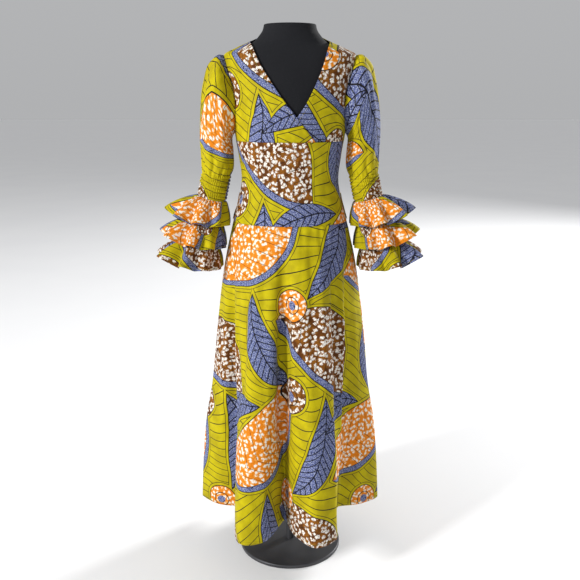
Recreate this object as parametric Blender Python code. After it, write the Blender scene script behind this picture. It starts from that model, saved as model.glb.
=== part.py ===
"""A wrap-front wax print dress with smocked, tiered sleeves and a back bow, worn by a plain dress form.

Metres, +Z up. The origin is on the floor under the stand's middle. The dress faces -Y.
An angle round the figure is in degrees, 0 at the front, 90 at +X, 180 at the back.
Cloth is a wall between an outer skin and an inner one, and both follow the same formula.
"""

import math

import bmesh
import bpy
from mathutils import Vector

CLOTH = 0.0016
SEAM_GAP = 0.0003
LAYER_GAP = 0.0012

NECK_TOP = 1.497
COLLAR_BACK = 1.484
SHOULDER_NECK = 1.455
SHOULDER_TIP = 1.420
ARMPIT = 1.222
UNDERBUST = 1.202
WAIST_SEAM = 0.987
BELT_TOP = 1.064
HEM = 0.150

# The worn bodice, section by section: the seat for every panel above the waist seam.
BODY_COLUMNS = ("height", "half_width", "front_depth", "back_depth")
BODY_SECTIONS = [
    (0.780, 0.178, 0.140, 0.138),
    (0.880, 0.170, 0.132, 0.128),
    (0.987, 0.155, 0.118, 0.112),
    (1.045, 0.139, 0.108, 0.098),
    (1.105, 0.131, 0.104, 0.090),
    (1.160, 0.137, 0.113, 0.093),
    (1.215, 0.146, 0.126, 0.101),
    (1.270, 0.152, 0.131, 0.108),
    (1.330, 0.160, 0.116, 0.110),
    (1.385, 0.171, 0.094, 0.100),
    (1.420, 0.172, 0.078, 0.086),
    (1.440, 0.138, 0.068, 0.075),
    (1.455, 0.104, 0.062, 0.068),
    (1.470, 0.084, 0.058, 0.064),
    (1.484, 0.074, 0.056, 0.061),
    (1.500, 0.070, 0.055, 0.059),
]

# The skirt without its folds, from the waist seam to the hem.
SKIRT_COLUMNS = ("height", "half_width", "front_depth", "back_depth")
SKIRT_SECTIONS = [
    (0.150, 0.264, 0.262, 0.262),
    (0.230, 0.260, 0.254, 0.254),
    (0.340, 0.252, 0.240, 0.240),
    (0.410, 0.244, 0.229, 0.229),
    (0.515, 0.225, 0.208, 0.208),
    (0.620, 0.213, 0.190, 0.188),
    (0.720, 0.202, 0.171, 0.168),
    (0.820, 0.189, 0.153, 0.149),
    (0.900, 0.175, 0.137, 0.131),
    (0.987, 0.155, 0.118, 0.112),
]

# The folds where they are deepest, at the hem: a low radius is the bottom of a fold.
HEM_COLUMNS = ("angle", "radius")
HEM_FOLDS = [
    (-90, 0.264), (-78, 0.222), (-64, 0.160), (-48, 0.178), (-37, 0.252),
    (-26, 0.292), (-16, 0.262), (-6, 0.136), (4, 0.226), (15, 0.288),
    (27, 0.270), (37, 0.212), (48, 0.168), (64, 0.156), (78, 0.218),
    (90, 0.264), (101, 0.235), (114, 0.178), (131, 0.158), (149, 0.196),
    (160, 0.264), (169, 0.286), (176, 0.222), (181, 0.128), (187, 0.226),
    (195, 0.286), (206, 0.256), (215, 0.206), (229, 0.212), (244, 0.164),
    (257, 0.206), (270, 0.264),
]
FOLD_START = 0.975
FOLD_POWER = 0.88

# The +X sleeve, ring by ring, from the armhole down: each ring's ends beside the body and outside.
SLEEVE_COLUMNS = ("inner_x", "inner_height", "outer_x", "outer_height", "half_depth", "gather")
SLEEVE_RINGS = [
    (0.1530, 1.2165, 0.193, 1.4165, 0.073, 0.0020),
    (0.1555, 1.2110, 0.211, 1.3960, 0.076, 0.0035),
    (0.1560, 1.2030, 0.224, 1.3520, 0.072, 0.0035),
    (0.1550, 1.1910, 0.2355, 1.2900, 0.065, 0.0025),
    (0.1535, 1.1730, 0.2395, 1.2260, 0.058, 0.0020),
    (0.1530, 1.1450, 0.2380, 1.1680, 0.052, 0.0024),
    (0.1580, 1.1190, 0.2365, 1.1290, 0.046, 0.0018),
]
# The smocked band's two ends: height, and how far its middle lies to +X.
SMOCK_TOP = (1.112, 0.1995)
SMOCK_END = (1.052, 0.2125)
SMOCK_RADII = (0.0372, 0.0415)
SMOCK_ROWS = 5
SMOCK_RELIEF = 0.0014
SMOCK_LEAN = 5.0
CUFF_LEAN = 14.0
CUFF_LENGTH = 0.140
CUFF_RADII = (0.0375, 0.0420)
CUFF_SPREAD = 0.006
SLEEVE_GATHERS = 6
ARMHOLE_FRONT = 25.0
ARMHOLE_BACK = 20.0

# The three gathered tiers of a cuff: how far down the cuff each is sewn, and how it flares.
TIER_COLUMNS = ("sewn_at", "drop", "flare", "outward", "wave", "waves", "turn")
TIERS = [
    (0.004, 0.096, 0.040, 0.018, 0.016, 9, 0),
    (0.066, 0.097, 0.042, 0.019, 0.016, 9, 35),
    (0.126, 0.097, 0.041, 0.018, 0.015, 9, 70),
]
# A tier falls along a bell's arc, between these two angles from level.
TIER_ARC = (25.0, 78.0)
TIER_SHARES = (0.0, 0.2, 0.45, 0.72, 1.0)
# The waves are deeper where the tier flares further, and their crests lift the hem by this share.
TIER_OUT_WAVE = 0.42
TIER_HEM_LIFT = 0.40
# How much higher a tier's hem is held beside the skirt than its drop alone would let it fall.
TIER_HELD = 0.026
# A tier is cut this much longer than its straight fall, and its waves deepen towards the hem.
TIER_SLACK = 1.08
TIER_DEEPENING = 1.1
# A slower second wave makes the flutes uneven: its share, how many waves fewer, and where it starts.
TIER_UNEVEN = (0.22, 3, 2.3, 0.6)
# How far the tiers stay off the skirt, and half the depth of the skirt beside them.
SKIRT_CLEARANCE = 0.004
SKIRT_HALF_DEPTH = 0.2

POLE_RADIUS = 0.0125
BASE_RADIUS = 0.150
BASE_THICK = 0.010
FORM_BOTTOM = 0.780

# How finely each piece is faceted.
FRONT_ACROSS = 9
BACK_ACROSS = 16
MIDRIFF_ACROSS, MIDRIFF_ROWS = 18, 5
FRONT_SEAM_ROWS, BACK_SEAM_ROWS = 1, 4
SKIRT_FRONT_ACROSS, SKIRT_BACK_ACROSS, SKIRT_ROWS = 50, 27, 8
ROUND_SLEEVE = 24
ROUND_TIER_WAVE = 4
ROUND_LOOP = 18
ROUND_FORM = 28
BELT_STEPS = 12
TAIL_STEPS = 8

# How far the dress form lies inside the worn surface: clear of the cloth, close at the neck.
SLACK_COLUMNS = ("height", "slack")
FORM_SLACK = [
    (0.780, 0.0120), (0.985, 0.0085), (1.105, 0.0130), (1.200, 0.0090), (1.380, 0.0080),
    (1.415, 0.0080), (1.448, 0.0080), (1.464, 0.0048), (1.475, 0.0034), (1.500, 0.0034),
]

PRINT_GREEN = (0.60, 0.58, 0.03)
FORM_BLACK = (0.012, 0.013, 0.016)
STEEL_GREY = (0.20, 0.20, 0.21)


def slopes(xs, ys):
    """Slopes for a curve through the points that never overshoots them."""
    steps = [(ys[i + 1] - ys[i]) / (xs[i + 1] - xs[i]) for i in range(len(xs) - 1)]
    inner = [
        2 * a * b / (a + b) if a * b > 0 else 0.0
        for a, b in zip(steps, steps[1:])
    ]
    return [steps[0], *inner, steps[-1]]


def curve_through(xs, ys):
    """A smooth function through the points, whose xs rise."""
    tangents = slopes(xs, ys)

    def at(x):
        x = min(max(x, xs[0]), xs[-1])
        i = max(k for k in range(len(xs) - 1) if xs[k] <= x)
        width = xs[i + 1] - xs[i]
        t = (x - xs[i]) / width
        rise = ys[i + 1] - ys[i]
        first, last = tangents[i] * width, tangents[i + 1] * width
        return (
            ys[i]
            + first * t
            + (3 * rise - 2 * first - last) * t * t
            + (first + last - 2 * rise) * t * t * t
        )

    return at


def read_table(columns, rows):
    """One smooth function of the first column for each further column."""
    rows = sorted(rows)
    keys = [row[0] for row in rows]
    return {
        name: curve_through(keys, [row[i] for row in rows])
        for i, name in enumerate(columns)
        if i
    }


def ease(t):
    t = min(max(t, 0.0), 1.0)
    return t * t * (3 - 2 * t)


BODY = read_table(BODY_COLUMNS, BODY_SECTIONS)
SKIRT = read_table(SKIRT_COLUMNS, SKIRT_SECTIONS)
SLACK = read_table(SLACK_COLUMNS, FORM_SLACK)["slack"]
HEM_ROUND = HEM_FOLDS + [(a + 360, r) for a, r in HEM_FOLDS[1:4]]
HEM_RADIUS = read_table(HEM_COLUMNS, HEM_ROUND)["radius"]


def ellipse_point(sections, angle, height):
    """The point of a worn section: wider from side to side than from front to back."""
    t = math.radians(angle)
    cos, sin = math.cos(t), math.sin(t)
    depth = sections["front_depth" if cos > 0 else "back_depth"](height)
    return Vector((sections["half_width"](height) * sin, -depth * cos, height))


def body_point(angle, height):
    return ellipse_point(BODY, angle, height)


def skirt_point(angle, height):
    """The skirt at full flare, with its folds growing from nothing below the waist seam."""
    wrapped = (angle + 90) % 360 - 90
    plain = ellipse_point(SKIRT, angle, height)
    hem_plain = ellipse_point(SKIRT, angle, HEM)
    flat = Vector((hem_plain.x, hem_plain.y)).length
    grown = max(0.0, (FOLD_START - height) / (FOLD_START - HEM)) ** FOLD_POWER
    share = 1 + grown * (HEM_RADIUS(wrapped) / flat - 1)
    return Vector((plain.x * share, plain.y * share, height))


def body_normal(angle, height):
    """The outward normal of the worn surface."""
    across = body_point(angle + 0.5, height) - body_point(angle - 0.5, height)
    up = body_point(angle, height + 0.002) - body_point(angle, height - 0.002)
    return across.cross(up).normalized()


def material(name, colour, roughness, metallic=0.0):
    made = bpy.data.materials.new(name)
    made.use_nodes = True
    shader = made.node_tree.nodes["Principled BSDF"]
    shader.inputs["Base Color"].default_value = (*colour, 1.0)
    shader.inputs["Roughness"].default_value = roughness
    shader.inputs["Metallic"].default_value = metallic
    made.diffuse_color = (*colour, 1.0)
    return made


def add_object(name, bm, finish, parts):
    """Puts a finished bmesh in the scene as one named solid."""
    bmesh.ops.recalc_face_normals(bm, faces=bm.faces)
    mesh = bpy.data.meshes.new(name)
    bm.to_mesh(mesh)
    bm.free()
    mesh.shade_smooth()
    mesh.set_sharp_from_angle(angle=math.radians(40))
    mesh.materials.append(finish)
    made = bpy.data.objects.new(name, mesh)
    parts.objects.link(made)
    return made


def skin(bm, rows, closed):
    """Loft one skin through rows of points. It returns the rows of vertices."""
    made = [[bm.verts.new(p) for p in row] for row in rows]
    for low, high in zip(made, made[1:]):
        count = len(low)
        for i in range(count if closed else count - 1):
            k = (i + 1) % count
            bm.faces.new((low[i], low[k], high[k], high[i]))
    return made


def rim(bm, first, second, closed):
    count = len(first)
    for i in range(count if closed else count - 1):
        k = (i + 1) % count
        bm.faces.new((first[i], first[k], second[k], second[i]))


def cloth_wall(name, outer, inner, closed, finish, parts):
    """A closed wall between two skins whose end rows and side columns have equal counts."""
    bm = bmesh.new()
    out = skin(bm, outer, closed)
    into = skin(bm, inner, closed)
    rim(bm, out[0], into[0], closed)
    rim(bm, out[-1], into[-1], closed)
    if not closed:
        for side in (0, -1):
            rim(bm, [r[side] for r in out], [r[side] for r in into], False)
    return add_object(name, bm, finish, parts)


def patch(left, right, bottom, top, across, up):
    """A grid of (angle, height) inside four edges, each a function of 0 to 1."""
    grid = []
    corners = (bottom(0), bottom(1), top(0), top(1))
    for j in range(up + 1):
        v = j / up
        row = []
        for i in range(across + 1):
            u = i / across
            row.append(
                tuple(
                    (1 - v) * bottom(u)[k] + v * top(u)[k]
                    + (1 - u) * left(v)[k] + u * right(v)[k]
                    - (1 - u) * (1 - v) * corners[0][k] - u * (1 - v) * corners[1][k]
                    - (1 - u) * v * corners[2][k] - u * v * corners[3][k]
                    for k in (0, 1)
                )
            )
        grid.append(row)
    return grid


def panel(name, grid, finish, parts, level_rows=(), lift=None):
    """A bodice panel over a grid of (angle, height). Lift moves a point out along the normal.

    At a level row the wall's edge is level, so that it meets the next panel squarely.
    """
    outer, inner = [], []
    for row in grid:
        normals = [body_normal(a, z) for a, z in row]
        lifts = [lift(a, z) if lift else 0.0 for a, z in row]
        points = [body_point(a, z) + n * d for (a, z), n, d in zip(row, normals, lifts)]
        outer.append(points)
        inner.append([p - n * CLOTH for p, n in zip(points, normals)])
    for j in level_rows:
        for p, q in zip(outer[j], inner[j]):
            p.z = grid[j][0][1]
            q.z = p.z
    return cloth_wall(name, outer, inner, False, finish, parts)


def walled(rows):
    """The inner skin of a wall: the outer skin moved in by one cloth, square to its own faces."""
    inner = []
    for j, row in enumerate(rows):
        above, below = rows[max(j - 1, 0)], rows[min(j + 1, len(rows) - 1)]
        count = len(row)
        moved = []
        for i, p in enumerate(row):
            before, after = row[i - 1], row[(i + 1) % count]
            across = (after - p).normalized() + (p - before).normalized()
            down = below[i] - above[i]
            moved.append(p - across.cross(down).normalized() * CLOTH)
        inner.append(moved)
    return inner


def seam_angle(angle, height, side):
    """The angle, moved off a side seam by half the seam gap. Side is the panel's way."""
    depth = BODY["front_depth" if side < 0 else "back_depth"](max(height, WAIST_SEAM))
    return angle + side * math.degrees(0.5 * SEAM_GAP / depth)


def armhole(turn):
    """(angle, height) on the +X armhole. Turn is 0 at the shoulder and runs by the front."""
    t = math.radians(turn)
    reach = ARMHOLE_FRONT if math.sin(t) > 0 else ARMHOLE_BACK
    middle, half = 0.5 * (SHOULDER_TIP + ARMPIT), 0.5 * (SHOULDER_TIP - ARMPIT)
    return 90 - reach * math.sin(t), middle + half * math.cos(t)


def side_edge(bottom, seam_rows, hand, is_front):
    """The side of a bodice panel: side seam up to the armpit, then the armhole's edge."""
    half_round = ROUND_SLEEVE // 2
    rows = seam_rows + half_round
    off = -1 if is_front else 1

    def at(v):
        step = v * rows
        if step <= seam_rows:
            height = bottom + (ARMPIT - bottom) * step / seam_rows
            angle = 90.0
        else:
            turn = 180 * (1 - (step - seam_rows) / half_round)
            angle, height = armhole(turn if is_front else 360 - turn)
        angle = seam_angle(angle, height, off)
        return hand * angle, height

    return at, rows


# The neckline seen from the front: how far it lies to the panel's own side at each height.
NECK_COLUMNS = ("height", "offset")
OVER_NECK = [
    (1.202, -0.066), (1.222, -0.050), (1.262, -0.019), (1.310, 0.019),
    (1.355, 0.050), (1.400, 0.078), (1.435, 0.094), (1.455, 0.104),
]
UNDER_NECK = [
    (1.202, -0.030), (1.235, -0.004), (1.262, 0.017), (1.310, 0.048),
    (1.355, 0.070), (1.400, 0.087), (1.435, 0.097), (1.455, 0.104),
]


def neck_edge(table, hand):
    offset = read_table(NECK_COLUMNS, table)["offset"]
    low = UNDERBUST + 0.5 * SEAM_GAP

    def at(v):
        height = low + (1 - (1 - v) ** 1.6) * (SHOULDER_NECK - low)
        share = offset(height) / BODY["half_width"](height)
        angle = math.degrees(math.asin(max(-1.0, min(1.0, share))))
        if v > 0.999:
            angle = seam_angle(90.0, height, -1)
        return hand * angle, height

    return at


def straight(start, end):
    return lambda t: tuple(a + (b - a) * t for a, b in zip(start, end))


def front_upper(name, hand, table, lift, finish, parts):
    """One upper front, from the under-bust seam over the bust to the shoulder."""
    side, rows = side_edge(UNDERBUST + 0.5 * SEAM_GAP, FRONT_SEAM_ROWS, hand, True)
    neck = neck_edge(table, hand)
    low, high = straight(side(0), neck(0)), straight(side(1), neck(1))
    grid = patch(side, neck, low, high, FRONT_ACROSS, rows)
    if hand > 0:
        grid = [row[::-1] for row in grid]
    panel(name, grid, finish, parts, (0,), lift)


def tuck_under(angle, height):
    """The under front dips below the other one where the two cross."""
    x = body_point(angle, height).x
    return -(CLOTH + LAYER_GAP) * ease((0.108 - x) / 0.035) * ease((1.375 - height) / 0.05)


def midriff(finish, parts):
    low, high = WAIST_SEAM + 0.5 * SEAM_GAP, UNDERBUST - 0.5 * SEAM_GAP
    angle = seam_angle(90.0, low, -1)

    def edge(sign):
        return straight((sign * angle, low), (sign * angle, high))

    grid = patch(
        edge(-1), edge(1),
        straight((-angle, low), (angle, low)), straight((-angle, high), (angle, high)),
        MIDRIFF_ACROSS, MIDRIFF_ROWS,
    )
    panel("midriff_front", grid, finish, parts, (0, -1))


def back_bodice(finish, parts):
    """The back in one piece, from the waist seam to the shoulders and the raised back neck."""
    low = WAIST_SEAM + 0.5 * SEAM_GAP
    near, rows = side_edge(low, BACK_SEAM_ROWS, 1, False)

    def far(v):
        angle, height = near(v)
        return 360 - angle, height

    shoulder_share = 0.19

    def top(u):
        mirrored = u > 0.5
        s = 1 - u if mirrored else u
        start = near(1)
        if s < shoulder_share:
            angle = start[0]
            height = start[1] + (SHOULDER_NECK - start[1]) * s / shoulder_share
        else:
            t = (s - shoulder_share) / (0.5 - shoulder_share)
            angle = start[0] + (180 - start[0]) * t
            height = SHOULDER_NECK + (COLLAR_BACK - SHOULDER_NECK) * ease(2.2 * t)
        return (360 - angle if mirrored else angle), height

    grid = patch(near, far, straight(near(0), far(0)), top, BACK_ACROSS, rows)
    panel("back_bodice", grid, finish, parts, (0,))


def even_angles(start, end, count):
    """Angles that space a skirt panel's points evenly along its hem."""
    fine = 12 * count
    angles = [start + (end - start) * i / fine for i in range(fine + 1)]
    points = [skirt_point(a, HEM) for a in angles]
    walked = [0.0]
    for p, q in zip(points, points[1:]):
        walked.append(walked[-1] + (q - p).length)
    found, k = [], 0
    for i in range(count + 1):
        goal = walked[-1] * i / count
        while k < fine - 1 and walked[k + 1] < goal:
            k += 1
        span = walked[k + 1] - walked[k]
        found.append(angles[k] + (angles[k + 1] - angles[k]) * (goal - walked[k]) / span)
    return found


def skirt_panel(name, start, end, count, finish, parts):
    """A flared panel whose two edges stay flat against the seams' upright planes."""
    top = WAIST_SEAM - 0.5 * SEAM_GAP
    angles = even_angles(start, end, count)
    outer, inner = [], []
    for j in range(SKIRT_ROWS + 1):
        height = HEM + (top - HEM) * j / SKIRT_ROWS
        points = [skirt_point(a, height) for a in angles]
        insides = []
        for i, p in enumerate(points):
            before, after = points[max(i - 1, 0)], points[min(i + 1, count)]
            across = (p - before).normalized() + (after - p).normalized()
            insides.append(p - Vector((across.y, -across.x, 0)).normalized() * CLOTH)
        for row in (points, insides):
            for i, angle, way in ((0, start, 1), (-1, end, -1)):
                t = math.radians(angle)
                plane = Vector((math.cos(t), math.sin(t), 0))
                row[i] = row[i] + plane * (0.5 * SEAM_GAP * way - row[i].dot(plane))
        outer.append(points)
        inner.append(insides)
    cloth_wall(name, outer, inner, False, finish, parts)


def sleeve_point(near, far, half_depth, gather, turn):
    """A point of a +X sleeve ring between its two ends. Turn is 0 at the far, outer end."""
    t = math.radians(turn)
    ripple = gather * math.cos(SLEEVE_GATHERS * t)
    reach = 0.5 * (far - near)
    return (
        0.5 * (near + far)
        + (reach + reach.normalized() * ripple) * math.cos(t)
        + Vector((0, -1, 0)) * (half_depth + ripple) * math.sin(t)
    )


def leaning_point(middle, half_width, half_depth, lean, turn):
    """A point of a plain ring of the forearm, whose outer end is turned up by lean."""
    tip = math.radians(lean)
    reach = Vector((math.cos(tip), 0, math.sin(tip))) * half_width
    return sleeve_point(middle - reach, middle + reach, half_depth, 0.0, turn)


def cuff_middle(down):
    """The middle of the leaning cuff, a given way below the smocking."""
    tip = math.radians(CUFF_LEAN)
    return Vector((SMOCK_END[1] + down * math.sin(tip), 0, SMOCK_END[0] - down * math.cos(tip)))


def cuff_radii(down):
    spread = CUFF_SPREAD * down / CUFF_LENGTH
    return CUFF_RADII[0] + spread, CUFF_RADII[1] + spread


def armhole_ring(turn):
    """The sleeve's own edge, a seam gap inside the armhole."""
    angle, height = armhole(turn)
    middle = body_point(90, 0.5 * (SHOULDER_TIP + ARMPIT))
    point = body_point(angle, height)
    return point + (middle - point).normalized() * 2 * SEAM_GAP


def sleeve(name, hand, finish, parts):
    """Armhole, full upper sleeve, smocked band, and the plain cuff that carries the tiers."""
    turns = [360 * i / ROUND_SLEEVE for i in range(ROUND_SLEEVE)]
    outer = [[armhole_ring(t) for t in turns]]
    for inner_x, inner_z, outer_x, outer_z, deep, gather in SLEEVE_RINGS:
        near, far = Vector((inner_x, 0, inner_z)), Vector((outer_x, 0, outer_z))
        outer.append([sleeve_point(near, far, deep, gather, t) for t in turns])
    smock_from = len(outer)
    start, end = Vector((SMOCK_TOP[1], 0, SMOCK_TOP[0])), Vector((SMOCK_END[1], 0, SMOCK_END[0]))
    steps = 2 * SMOCK_ROWS
    for i in range(steps + 1):
        share = i / steps
        wide, deep = (r + SMOCK_RELIEF * (i % 2) for r in SMOCK_RADII)
        lean = SMOCK_LEAN + (CUFF_LEAN - SMOCK_LEAN) * share
        outer.append([leaning_point(start.lerp(end, share), wide, deep, lean, t) for t in turns])
    for down in (0.012, 0.075, CUFF_LENGTH):
        middle = cuff_middle(down)
        outer.append([leaning_point(middle, *cuff_radii(down), CUFF_LEAN, t) for t in turns])
    plain = outer[: smock_from + 1] + outer[smock_from + steps :]
    inner = walled(plain)
    for rows in (outer, inner):
        for row in rows:
            for p in row:
                p.x *= hand
    cloth_wall(name, outer, inner, True, finish, parts)


def tier_point(tier, turn, share):
    """A gathered tier of the +X cuff: it leaves its seam like a bell and hangs in waves."""
    sewn_at, drop, flare, outward, wave, waves, start = tier
    t, start = math.radians(turn), math.radians(start)
    first, last = (math.radians(a) for a in TIER_ARC)
    at = first + (last - first) * share
    full_out = flare + outward * math.cos(t)
    full_fall = math.sqrt((drop / TIER_SLACK) ** 2 - full_out**2)
    full_fall -= 0.5 * TIER_HELD * (1 - math.cos(t))
    reach = full_out * (math.sin(at) - math.sin(first)) / (1 - math.sin(first))
    fall = full_fall * (math.cos(first) - math.cos(at)) / (math.cos(first) - math.cos(last))
    uneven, fewer, turned_by, begins = TIER_UNEVEN
    second = uneven * math.cos((waves - fewer) * t + turned_by * start + begins)
    ripple = (wave + TIER_OUT_WAVE * outward * math.cos(t)) * share**TIER_DEEPENING
    ripple *= math.cos(waves * t + start) + second
    across, deep = cuff_radii(sewn_at)
    outer = SEAM_GAP + 0.8 * CLOTH + reach + ripple
    middle = cuff_middle(sewn_at + fall - TIER_HEM_LIFT * ripple * share)
    point = leaning_point(middle, across + outer, deep + outer, CUFF_LEAN, turn)
    curve = math.sqrt(max(0.0, 1 - (point.y / SKIRT_HALF_DEPTH) ** 2))
    beside = SKIRT["half_width"](point.z) * curve
    point.x = max(point.x, beside + SKIRT_CLEARANCE + CLOTH)
    return point


def tier(name, hand, values, finish, parts):
    waves = values[TIER_COLUMNS.index("waves")]
    count = waves * ROUND_TIER_WAVE
    crest = -values[TIER_COLUMNS.index("turn")] / waves
    turns = [crest + 360 * i / count for i in range(count)]
    outer = [[tier_point(values, t, share) for t in turns] for share in TIER_SHARES]
    inner = walled(outer)
    for rows in (outer, inner):
        for row in rows:
            for p in row:
                p.x *= hand
    cloth_wall(name, outer, inner, True, finish, parts)


KNOT = Vector((0.0105, 0.0, 1.037))
KNOT_HALF = Vector((0.0165, 0.011, 0.020))
BELT_LIFT = LAYER_GAP + CLOTH
BELT_HALF = 0.5 * (BELT_TOP - WAIST_SEAM)


def back_angle(x, height):
    """The angle on the back at a given distance to +X of its middle."""
    return 180 - math.degrees(math.asin(x / BODY["half_width"](height)))


def belt_strip(name, hand, finish, parts):
    """A half of the belt, from the side seam to under the knot, narrowing on the way."""
    middle = 0.5 * (BELT_TOP + WAIST_SEAM)
    start, end = 91.0, back_angle(hand * (KNOT.x + 0.003) if hand > 0 else 0.012, KNOT.z)
    if hand < 0:
        start, end = 360 - start, back_angle(KNOT.x - 0.003, KNOT.z)
    grid = []
    for k in (-1, 0, 1):
        row = []
        for i in range(BELT_STEPS + 1):
            share = i / BELT_STEPS
            narrow = 0.92 - 0.62 * ease(1.25 * share - 0.1)
            height = middle + (KNOT.z - middle) * ease(share) + k * BELT_HALF * narrow
            row.append((start + (end - start) * share, height))
        grid.append(row if hand > 0 else row[::-1])
    panel(name, grid, finish, parts, (), lambda a, z: BELT_LIFT)


def off_back(x, height, stand):
    """A point that stands off the back of the bodice, beside or below the knot."""
    angle = back_angle(x, height)
    return body_point(angle, height) + body_normal(angle, height) * stand


def knot(finish, parts):
    """A soft block that follows the back's slope, just clear of the belt that it ties."""
    bm = bmesh.new()
    bmesh.ops.create_cube(bm, size=2.0)
    bmesh.ops.scale(bm, vec=KNOT_HALF, verts=bm.verts)
    bmesh.ops.bevel(bm, geom=bm.edges, offset=0.007, segments=3, affect="EDGES")
    for v in bm.verts:
        stand = BELT_LIFT + 0.0008 + KNOT_HALF.y + v.co.y
        v.co = off_back(KNOT.x + v.co.x, KNOT.z + v.co.z, stand)
    add_object("belt_knot", bm, finish, parts)


# The two bow loops: reach out from the knot, half height there and at the end, and sag.
BOW_COLUMNS = ("name", "hand", "reach", "near_half", "far_half", "open", "sag")
BOW_LOOPS = [
    ("bow_loop_left", 1, 0.088, 0.013, 0.027, 0.024, -0.006),
    ("bow_loop_right", -1, 0.066, 0.016, 0.030, 0.026, 0.008),
]
# A loop starts this far beside the knot and off the belt, and is pressed flatter at the knot.
LOOP_BESIDE = 0.0019
LOOP_SEAT = 0.0028
LOOP_PRESSED = 0.35
LOOP_PROUD = 0.004


def bow_loop(values, finish, parts):
    """A flattened teardrop of belt cloth that stands off the back beside the knot."""
    name, hand, reach, near_half, far_half, opened, sag = values
    root = KNOT.x + hand * (KNOT_HALF.x + LOOP_BESIDE)
    seat = BELT_LIFT + LOOP_SEAT
    outer = []
    for k in (-1.0, 0.0, 1.0):
        out_row = []
        for i in range(ROUND_LOOP):
            t = 2 * math.pi * i / ROUND_LOOP
            along = 0.5 * (1 - math.cos(t))
            half_open = 0.5 * opened * (LOOP_PRESSED + (1 - LOOP_PRESSED) * along)
            half = near_half + (far_half - near_half) * ease(along)
            x = root + hand * reach * along
            height = KNOT.z - sag * along + k * half
            middle = seat + half_open + LOOP_PROUD * (1 - along)
            out_row.append(off_back(x, height, middle + half_open * math.sin(t)))
        outer.append(out_row if hand > 0 else out_row[::-1])
    cloth_wall(name, outer, walled(outer), True, finish, parts)


# The belt's hanging ends: start and end of the middle line, and half the width there.
TAIL_COLUMNS = ("name", "start_x", "end_x", "bottom", "start_half", "end_half")
BELT_TAILS = [
    ("belt_tail_left", 0.0200, 0.055, 0.802, 0.0045, 0.0100),
    ("belt_tail_right", 0.0020, -0.038, 0.862, 0.0065, 0.0130),
]
# A belt end starts inside the knot's lower edge, stands off it there, and curls across its width.
TAIL_START = 0.0028
TAIL_UNDER_KNOT = 0.008
TAIL_STAND = 0.0040
TAIL_CURL = 0.003


def tail_depth(x, height):
    """How far back a belt end hangs: off the bodice first, then off the skirt's folds."""
    if height > WAIST_SEAM:
        return body_point(back_angle(x, height), height).y
    share = x / SKIRT["half_width"](height)
    plain = SKIRT["back_depth"](height) * math.sqrt(1 - share * share)
    return plain * (1 + 0.10 * ease((WAIST_SEAM - height) / 0.16))


def belt_tail(values, finish, parts):
    name, start_x, end_x, bottom, start_half, end_half = values
    top = KNOT.z - KNOT_HALF.z + TAIL_START
    outer, inner = [], []
    for j in range(TAIL_STEPS + 1):
        share = j / TAIL_STEPS
        height = top + (bottom - top) * share
        middle = start_x + (end_x - start_x) * ease(share)
        half = start_half + (end_half - start_half) * ease(2.2 * share)
        out_row, in_row = [], []
        for k in (-1.0, 0.0, 1.0):
            x = middle + k * half
            curl = TAIL_CURL * (1 - k * k)
            under_knot = TAIL_UNDER_KNOT * (1 - ease(4 * share))
            y = tail_depth(x, height) + BELT_LIFT + TAIL_STAND + under_knot + curl
            out_row.append(Vector((x, y, height)))
            in_row.append(Vector((x, y - CLOTH, height)))
        outer.append(out_row)
        inner.append(in_row)
    cloth_wall(name, outer, inner, False, finish, parts)


def form_point(angle, height):
    """The dress form under the cloth."""
    return body_point(angle, height) - body_normal(angle, height) * SLACK(height)


def dress_form(finish, parts):
    heights = (
        0.787, 0.87, 0.945, 1.015, 1.075, 1.135, 1.195, 1.255, 1.32, 1.38,
        1.408, SHOULDER_TIP, 1.431, 1.443, SHOULDER_NECK, 1.464, 1.475, NECK_TOP - 0.002,
    )
    turns = [360 * i / ROUND_FORM for i in range(ROUND_FORM)]
    rows = [[form_point(t, height) for t in turns] for height in heights]
    for place, height, tucked in ((0, FORM_BOTTOM, 0.955), (len(rows) + 1, NECK_TOP, 0.95)):
        edge = rows[0 if place == 0 else -1]
        rows.insert(place, [Vector((p.x * tucked, p.y * tucked, height)) for p in edge])
    bm = bmesh.new()
    made = skin(bm, rows, True)
    for row in (made[0], made[-1]):
        bm.faces.new(row)
    add_object("dress_form_torso", bm, finish, parts)


def turned(name, radius, low, high, edge, segments, finish, parts):
    """A round bar or disc, with its outer edges eased."""
    bm = bmesh.new()
    bmesh.ops.create_cone(
        bm, cap_ends=True, segments=segments, radius1=radius, radius2=radius, depth=high - low
    )
    rims = [e for e in bm.edges if abs(e.verts[0].co.z - e.verts[1].co.z) < 1e-6]
    if edge:
        rims = [e for e in rims if e.verts[0].co.z > 0]
        bmesh.ops.bevel(bm, geom=rims, offset=edge, segments=2, affect="EDGES")
    bmesh.ops.translate(bm, vec=(0, 0, 0.5 * (low + high)), verts=bm.verts)
    add_object(name, bm, finish, parts)


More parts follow.
